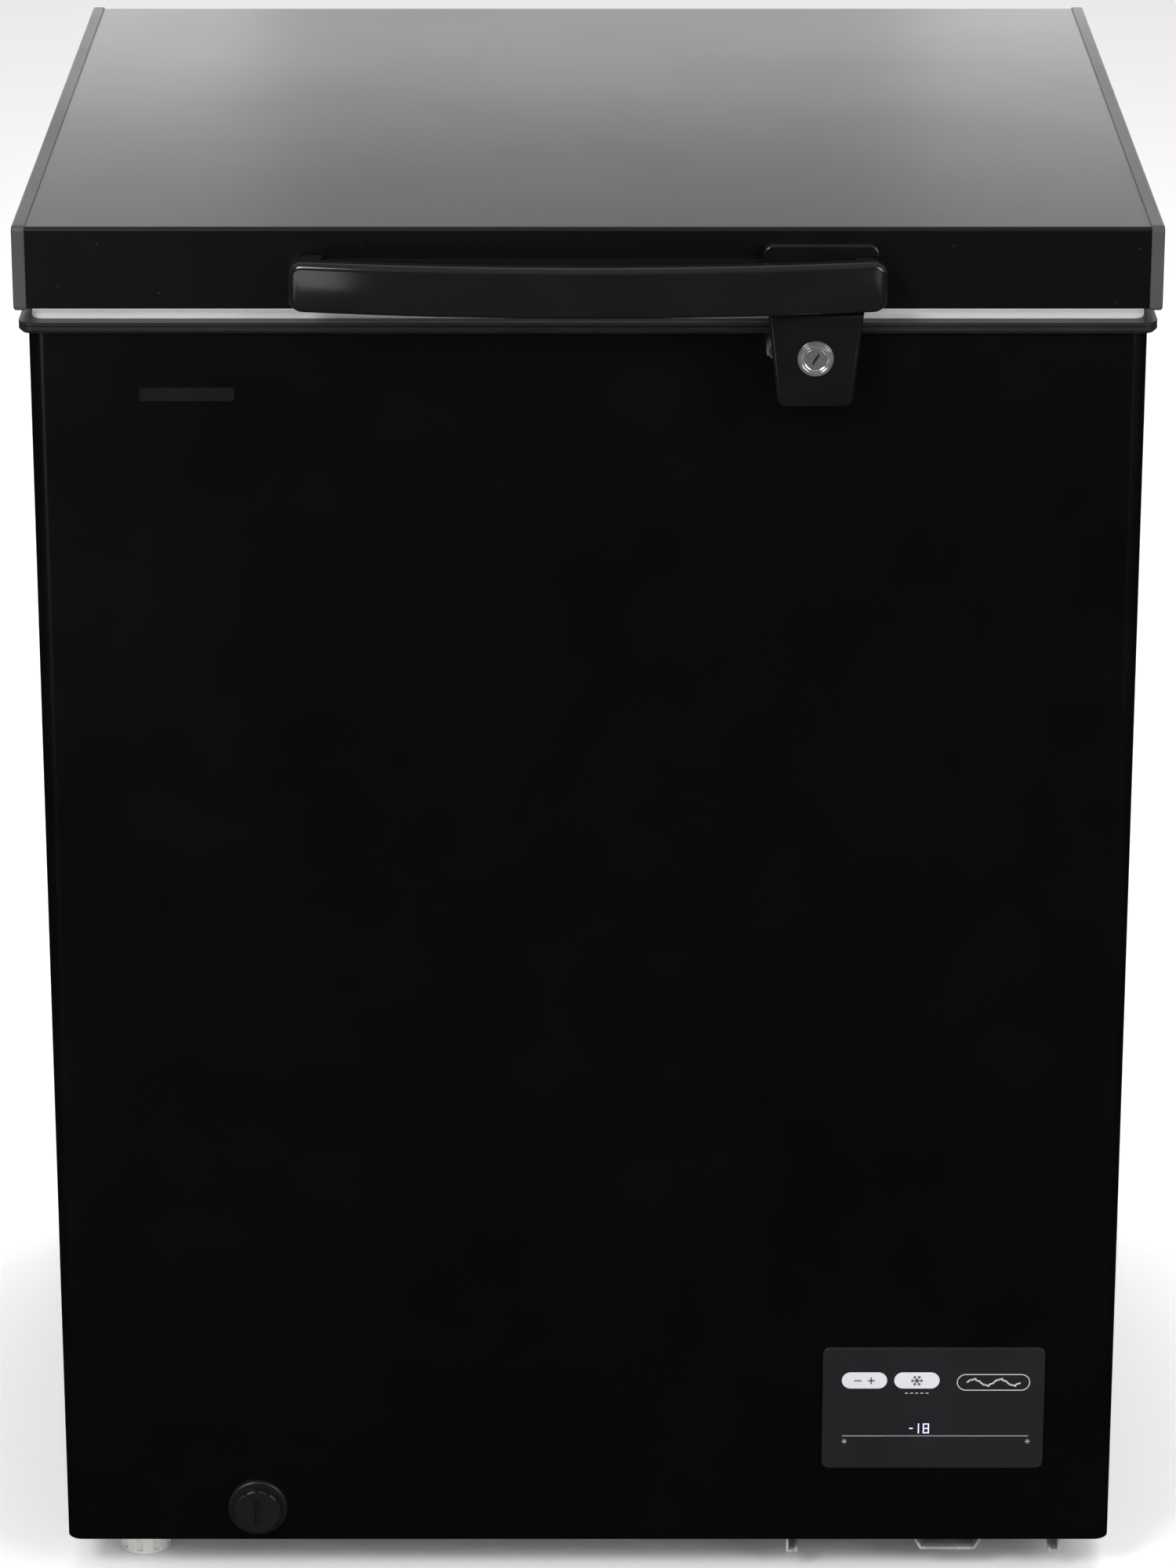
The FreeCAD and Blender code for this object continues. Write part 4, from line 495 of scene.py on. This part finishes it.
# ------------------------------------------------------------------ badge
# A blank name bar in dark plated plastic, with a fine raised frame, stuck to the front.
badge_low, badge_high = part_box("badge_bar")
badge_corner = 0.0012
badge_rim = 0.0005
badge_sunk = 0.0004
badge_finish = finish(
    "dark_plating", (0.022, 0.0225, 0.024), (0.032, 0.0325, 0.034), (0.16, 0.24),
    grain=500.0, depth=0.000006, metallic=0.7)
badge = begin(
    "badge_plate", bpy.ops.mesh.primitive_cube_add, size=1, location=(badge_low + badge_high) / 2)
bpy.ops.transform.resize(value=tuple(badge_high - badge_low))
pick("EDGE", lambda middle, run: abs(run.y) > 0.0005)
bpy.ops.mesh.bevel(offset=badge_corner, segments=5, affect="EDGES")
pick("FACE", lambda middle, normal: normal.y < -0.9)
bpy.ops.mesh.inset(thickness=badge_rim, depth=0)
bpy.ops.mesh.inset(thickness=0.0002, depth=-badge_sunk)
complete(badge, "cabinet", badge_finish, ["badge_bar"])


# ------------------------------------------------------------------ drain
# The escutcheon and the fluted cap are black polypropylene. The sliding tube and the plug
# in the tub's floor are natural white.
drain_plastic = finish(
    "drain_plastic", (0.0065, 0.0066, 0.0070), (0.0085, 0.0086, 0.0090), (0.28, 0.38),
    grain=900.0, depth=0.00002)
dress(["drain_elbow", "drain_cap"], drain_plastic, roll=0.0003)
white_moulding = finish(
    "white_moulding", (0.74, 0.74, 0.72), (0.69, 0.69, 0.67), (0.34, 0.44),
    grain=900.0, depth=0.00002, dust=0.4)
dress(["drain_tube", "drain_plug", "temperature_sensor"], white_moulding)


# ------------------------------------------------------------------ feet
# Screw feet in white nylon, fluted so that fingers can turn them to level the freezer.
dress(
    ["foot_front_left", "foot_rear_left", "foot_front_right", "foot_rear_right"],
    white_moulding, roll=0.0003)


# ------------------------------------------------------------------ lid
# The lid's front, top and back are one bent sheet in black enamel, a little duller than the
# cabinet's. The moulded liner below it is glossy white, and a charcoal cap closes each end.
lid_enamel = finish(
    "lid_enamel", (0.0012, 0.00124, 0.00133), (0.0016, 0.00165, 0.00178), (0.318, 0.338),
    grain=620.0, depth=0.000006, dust=0.2)
dress(["lid_sheet"], lid_enamel)
lid_moulding = finish(
    "lid_moulding", (0.58, 0.585, 0.59), (0.55, 0.555, 0.56), (0.22, 0.30),
    grain=500.0, depth=0.00001)
dress(["lid_liner"], lid_moulding, roll=0.002)
cap_plastic = finish(
    "cap_plastic", (0.046, 0.047, 0.050), (0.052, 0.053, 0.056), (0.42, 0.52),
    grain=1500.0, depth=0.00002, dust=0.3)
dress(["lid_cap_left", "lid_cap_right"], cap_plastic)


# ------------------------------------------------------------------ lid seal
# The magnetic seal is a soft white extrusion, welded at its corners. Its side has two bellows
# folds between the lip on the lid and the magnet pocket that rests on the collar.
seal_low, seal_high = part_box("gasket")
seal_middle = (seal_low + seal_high) / 2
seal_size = seal_high - seal_low
seal_band = 0.022
seal_corner = 0.006
fold_reach = 0.008
seal = begin("lid_seal", bpy.ops.mesh.primitive_cube_add, size=1, location=seal_middle)
bpy.ops.transform.resize(value=tuple(seal_size))
pick("EDGE", lambda middle, run: abs(run.z) > seal_size.z / 2)
bpy.ops.mesh.bevel(offset=seal_corner, segments=6, affect="EDGES")
pick("FACE", lambda middle, normal: abs(normal.z) > 0.9)
bpy.ops.mesh.inset(thickness=seal_band, depth=0)
bpy.ops.mesh.bridge_edge_loops()
fold_levels = (0.16, 0.34, 0.44, 0.54, 0.70, 0.78, 0.86)
for level in fold_levels:
    bpy.ops.mesh.select_all(action="SELECT")
    bpy.ops.mesh.bisect(
        plane_co=(0, 0, seal_low.z + seal_size.z * level), plane_no=(0, 0, 1))
for level, squeeze in ((0.0, 0.0004), (0.44, 0.0008), (0.78, 0.0005), (1.0, 0.0003)):
    fold_z = seal_low.z + seal_size.z * level
    pick("VERT", lambda place, normal: abs(place.z - fold_z) < 1e-5 and (
        abs(place.x) > seal_high.x - fold_reach or place.y < seal_low.y + fold_reach
        or place.y > seal_high.y - fold_reach))
    bpy.ops.transform.resize(
        value=(1 - squeeze / seal_high.x, 1 - 2 * squeeze / seal_size.y, 1),
        center_override=seal_middle)
seal_rubber = finish(
    "seal_rubber", (0.90, 0.90, 0.89), (0.86, 0.86, 0.85), (0.45, 0.6), grain=700.0, depth=0.00002)
complete(seal, "lid", seal_rubber, ["gasket"])


# ------------------------------------------------------------------ handle
# The grip is moulded in two halves of gloss black ABS: a bowed front shell and a back with
# the two posts. The joint between them shows as a fine line round the edge.
handle_black = finish(
    "handle_gloss", (0.0062, 0.0062, 0.0065), (0.0072, 0.0072, 0.0075), (0.10, 0.15),
    grain=240.0, depth=0.000004, cloud=30.0)
dress(["handle_base"], handle_black)

bar_low, bar_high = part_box("handle_bar")
bar_half = bar_high.x
bar_front = bar_low.y + 0.0001
bar_thick = 0.009
bar_rise = 0.015
bar_corner = 0.008
bar_edge = 0.004
bar_slices = 36
seam_low_y = 0.0046
seam_high_y = 0.0050
seam_depth = 0.00035
post_length = 0.017
post_rise = 0.009
bar_radius = (bar_half ** 2 + bar_rise ** 2) / (2 * bar_rise)
bar_arc = 2 * math.asin(bar_half / bar_radius)
straight = bar_radius * bar_arc
grip = begin(
    "handle_grip", bpy.ops.mesh.primitive_cube_add, size=1,
    location=(0, bar_thick / 2, (bar_low.z + bar_high.z) / 2))
bpy.ops.transform.resize(value=(straight, bar_thick, bar_high.z - bar_low.z))
pick("EDGE", lambda middle, run: abs(run.y) > bar_thick / 2)
bpy.ops.mesh.bevel(offset=bar_corner, segments=8, affect="EDGES")
pick("FACE", lambda middle, normal: normal.y < -0.9)
bpy.ops.mesh.region_to_loop()
bpy.ops.mesh.bevel(offset=bar_edge, segments=8, affect="EDGES")
for seam_y in (seam_low_y, seam_high_y):
    bpy.ops.mesh.select_all(action="SELECT")
    bpy.ops.mesh.bisect(plane_co=(0, seam_y, 0), plane_no=(0, 1, 0))
pick("FACE", lambda middle, normal: seam_low_y < middle.y < seam_high_y and abs(normal.y) < 0.5)
bpy.ops.mesh.extrude_region_shrink_fatten(TRANSFORM_OT_shrink_fatten={"value": -seam_depth})
cuts = [straight * (i / bar_slices - 0.5) for i in range(1, bar_slices)]
post_cut = straight / 2 - post_length
for cut_x in cuts + [-post_cut, post_cut]:
    bpy.ops.mesh.select_all(action="SELECT")
    bpy.ops.mesh.bisect(plane_co=(cut_x, 0, 0), plane_no=(1, 0, 0))
pick("FACE", lambda middle, normal: normal.y > 0.9 and abs(middle.x) > post_cut and middle.y > 0.008)
bpy.ops.mesh.extrude_region_move(TRANSFORM_OT_translate={"value": (0, post_rise, 0)})
bpy.ops.object.mode_set(mode="OBJECT")
bend = grip.modifiers.new("bow", "SIMPLE_DEFORM")
bend.deform_method = "BEND"
bend.deform_axis = "Z"
bend.angle = bar_arc
bpy.ops.object.modifier_apply(modifier="bow")
grip_low = min(v.co.y for v in grip.data.vertices)
bpy.ops.object.mode_set(mode="EDIT")
bpy.ops.mesh.select_all(action="SELECT")
bpy.ops.transform.translate(value=(0, bar_front - grip_low, 0))
seat_y = bar_high.y
pick("FACE", lambda middle, normal: normal.y > 0.8 and middle.y > seat_y - 0.008)
bpy.ops.transform.resize(value=(1, 0, 1), center_override=(0, seat_y, 0))
complete(grip, "lid", handle_black, ["handle_bar"])


# ------------------------------------------------------------------ lock
# The lock's pad and hanging tab are one gloss black moulding. The rosette is turned brass,
# chrome plated, and the plug with its key slot turns in it.
lock_black = finish(
    "lock_moulding", (0.0045, 0.0045, 0.0048), (0.0055, 0.0055, 0.0058), (0.14, 0.20),
    grain=240.0, depth=0.000004, cloud=30.0)
dress(["lock_housing"], lock_black)

rosette_low, rosette_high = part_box("lock_bezel")
rosette_middle = (rosette_low + rosette_high) / 2
rosette_radius = (rosette_high.x - rosette_low.x) / 2
rosette_y = rosette_low.y
chrome = finish(
    "chrome_plate", (0.76, 0.76, 0.77), (0.68, 0.68, 0.69), (0.13, 0.20),
    grain=900.0, depth=0.000002, metallic=0.90)
ring_profile = (
    (0.00606, 0.0022), (0.00606, 0.0006), (0.0066, 0.0003), (0.0071, 0.0009), (0.0074, 0.0009),
    (0.0078, 0.0004), (0.0083, 0.0010), (0.0086, 0.0010), (0.0091, 0.0002), (0.0097, 0.0003),
    (rosette_radius - 0.0002, 0.0010), (rosette_radius, 0.0020))
rosette = begin(
    "lock_rosette", bpy.ops.mesh.primitive_circle_add, vertices=72, radius=ring_profile[0][0],
    rotation=(math.pi / 2, 0, 0),
    location=(rosette_middle.x, rosette_y + ring_profile[0][1], rosette_middle.z))
for before, after in zip(ring_profile, ring_profile[1:]):
    grow = after[0] / before[0]
    bpy.ops.mesh.extrude_edges_move(
        TRANSFORM_OT_translate={"value": (0, after[1] - before[1], 0)})
    bpy.ops.transform.resize(value=(grow, 1, grow), center_override=rosette_middle)
bpy.ops.mesh.select_mode(type="EDGE")
bpy.ops.mesh.select_all(action="DESELECT")
bpy.ops.mesh.select_non_manifold()
bpy.ops.mesh.bridge_edge_loops()
bpy.ops.mesh.select_all(action="SELECT")
bpy.ops.mesh.normals_make_consistent(inside=False)
complete(rosette, "lid", chrome, ["lock_bezel"], angle=40)
dress(["lock_cylinder"], chrome, roll=0.0002)
dress(["lock_keeper"], chrome, roll=0.0003)
dress(["lock_cam"], zinc_plate, roll=0.0003)


# ------------------------------------------------------------------ hinges
# Pressed, zinc-plated brackets are screwed to the cabinet's back and leaves to the lid. A
# spring of black oiled wire stands between each bracket's shelves.
dress(["hinge_bracket_left", "hinge_bracket_right", "hinge_leaf_left", "hinge_leaf_right"],
      zinc_plate, roll=0.0004)
dress(["hinge_pins", "cabinet_screws", "lid_screws"], zinc_plate)
spring_wire = finish(
    "spring_wire", (0.16, 0.16, 0.165), (0.10, 0.10, 0.105), (0.25, 0.4),
    grain=500.0, depth=0.00001, metallic=1.0)
springs_low, springs_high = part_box("hinge_springs")
coil_radius = (springs_high.y - springs_low.y) / 2
wire_radius = 0.0011
coil_turns = 12
coil_bottom = springs_low.z + wire_radius
coil_rise = springs_high.z - springs_low.z - 2 * wire_radius
coils = []
for centre_x in (springs_low.x + coil_radius, springs_high.x - coil_radius):
    wire = begin(
        "spring", bpy.ops.mesh.primitive_circle_add, radius=wire_radius, vertices=10,
        fill_type="NGON", rotation=(math.pi / 2, 0, 0),
        location=(coil_radius - wire_radius, 0, 0))
    bpy.ops.object.mode_set(mode="OBJECT")
    winding = wire.modifiers.new("winding", "SCREW")
    winding.axis = "Z"
    winding.angle = 2 * math.pi
    winding.iterations = coil_turns
    winding.screw_offset = coil_rise / coil_turns
    winding.steps = 28
    winding.render_steps = 28
    winding.use_merge_vertices = False
    bpy.ops.object.modifier_apply(modifier="winding")
    bpy.ops.object.mode_set(mode="EDIT")
    bpy.ops.mesh.select_all(action="SELECT")
    bpy.ops.transform.translate(
        value=(centre_x, (springs_low.y + springs_high.y) / 2, coil_bottom))
    bpy.ops.mesh.remove_doubles(threshold=1e-6)
    bpy.ops.mesh.fill_holes(sides=12)
    bpy.ops.mesh.normals_make_consistent(inside=False)
    bpy.ops.object.mode_set(mode="OBJECT")
    coils.append(wire)
complete(join("spring_coils", coils), "cabinet", spring_wire, ["hinge_springs"])


# ------------------------------------------------------------------ basket
# A moulded grid basket in milky polyethylene, hung from the collar's ledge by its rails.
basket_plastic = finish(
    "basket_plastic", (0.66, 0.71, 0.76), (0.62, 0.67, 0.72), (0.34, 0.46),
    grain=900.0, depth=0.00003)
dress(["basket"], basket_plastic, roll=0.0006)


# ------------------------------------------------------------------ floor, light and camera
# A pale seamless floor, a pale surround and large soft lights. Mirror-like surfaces see a
# dark floor and a surround that is bright behind and above, as black studio flags give.
floor_paint = bpy.data.materials.new("floor_paint")
floor_paint.use_nodes = True
tree = floor_paint.node_tree
shader = tree.nodes["Principled BSDF"]
shader.inputs["Base Color"].default_value = (0.91, 0.91, 0.91, 1)
shader.inputs["Roughness"].default_value = 0.9
shader.inputs["Specular IOR Level"].default_value = 0.1
flag = put(tree, "ShaderNodeBsdfDiffuse", {"Color": (0.004, 0.004, 0.004, 1)})
ray = put(tree, "ShaderNodeLightPath")
choose = put(tree, "ShaderNodeMixShader")
tree.links.new(ray.outputs["Is Glossy Ray"], choose.inputs["Fac"])
tree.links.new(shader.outputs["BSDF"], choose.inputs[1])
tree.links.new(flag.outputs["BSDF"], choose.inputs[2])
tree.links.new(choose.outputs["Shader"], tree.nodes["Material Output"].inputs["Surface"])
bpy.ops.object.select_all(action="DESELECT")
bpy.ops.mesh.primitive_plane_add(size=60, location=(0, 0, 0))
floor = bpy.context.object
floor.name = "floor"
floor.data.materials.append(floor_paint)

world = bpy.data.worlds.new("studio")
bpy.context.scene.world = world
world.use_nodes = True
tree = world.node_tree
backdrop = tree.nodes["Background"]
place = put(tree, "ShaderNodeTexCoord")
axes = put(tree, "ShaderNodeSeparateXYZ")
behind = put(
    tree, "ShaderNodeMapRange",
    {"From Min": -0.6, "From Max": 0.9, "To Min": 0.02, "To Max": 0.53},
    interpolation_type="SMOOTHSTEP")
above = put(
    tree, "ShaderNodeMapRange",
    {"From Min": 0.15, "From Max": 0.9, "To Min": 0.0, "To Max": 0.34},
    interpolation_type="SMOOTHSTEP")
mirrored = put(tree, "ShaderNodeMath", operation="MAXIMUM")
ray = put(tree, "ShaderNodeLightPath")
by_mirror = put(tree, "ShaderNodeMix", {"A": 0.75}, data_type="FLOAT")
by_camera = put(tree, "ShaderNodeMix", {"B": 1.0}, data_type="FLOAT")
tree.links.new(place.outputs["Generated"], axes.inputs[0])
tree.links.new(axes.outputs["Y"], behind.inputs["Value"])
tree.links.new(axes.outputs["Z"], above.inputs["Value"])
tree.links.new(behind.outputs["Result"], mirrored.inputs[0])
tree.links.new(above.outputs["Result"], mirrored.inputs[1])
tree.links.new(ray.outputs["Is Glossy Ray"], by_mirror.inputs["Factor"])
tree.links.new(mirrored.outputs[0], by_mirror.inputs["B"])
tree.links.new(ray.outputs["Is Camera Ray"], by_camera.inputs["Factor"])
tree.links.new(by_mirror.outputs["Result"], by_camera.inputs["A"])
tree.links.new(by_camera.outputs["Result"], backdrop.inputs["Strength"])
backdrop.inputs["Color"].default_value = (1.0, 1.0, 1.0, 1)

aim = Vector((0.0, -0.1, 0.55))
for name, spot, wide, high, power in (
    ("key_light", (-1.9, -2.7, 2.7), 1.3, 1.3, 80.0),
    ("fill_light", (2.5, -2.3, 1.9), 1.7, 1.7, 45.0),
    ("top_light", (0.4, 1.3, 3.2), 2.0, 2.0, 60.0),
    ("rear_card_left", (-0.60, 1.00, 0.99), 0.75, 0.26, 0.60),
    ("rear_card_right", (0.60, 1.00, 0.99), 0.75, 0.26, 0.60),
    ("rear_strip", (0.0, 0.50, 0.93), 1.5, 0.12, 0.76),
    ("low_card_left", (-1.45, -2.9, 0.30), 0.8, 0.55, 2.9),
    ("low_card_right", (1.55, -2.9, 0.35), 0.5, 0.5, 0.7),
):
    bpy.ops.object.light_add(type="AREA", location=spot)
    lamp = bpy.context.object
    lamp.name = name
    lamp.data.shape = "RECTANGLE"
    lamp.data.size = wide
    lamp.data.size_y = high
    lamp.data.energy = power
    lamp.visible_camera = False
    lamp.visible_glossy = name != "top_light"
    lamp.rotation_euler = (aim - Vector(spot)).to_track_quat("-Z", "Y").to_euler()

camera_tilt = 18.72
camera_data = bpy.data.cameras.new("camera")
camera = bpy.data.objects.new("camera", camera_data)
bpy.context.scene.collection.objects.link(camera)
bpy.context.scene.camera = camera
camera_data.sensor_width = 36.0
camera_data.lens = 128.3
camera_data.shift_y = -0.12
camera.location = (0.0, -3.297, 1.657)
camera.rotation_euler = (math.radians(90 - camera_tilt), 0, 0)
bpy.context.scene.view_settings.view_transform = "Standard"
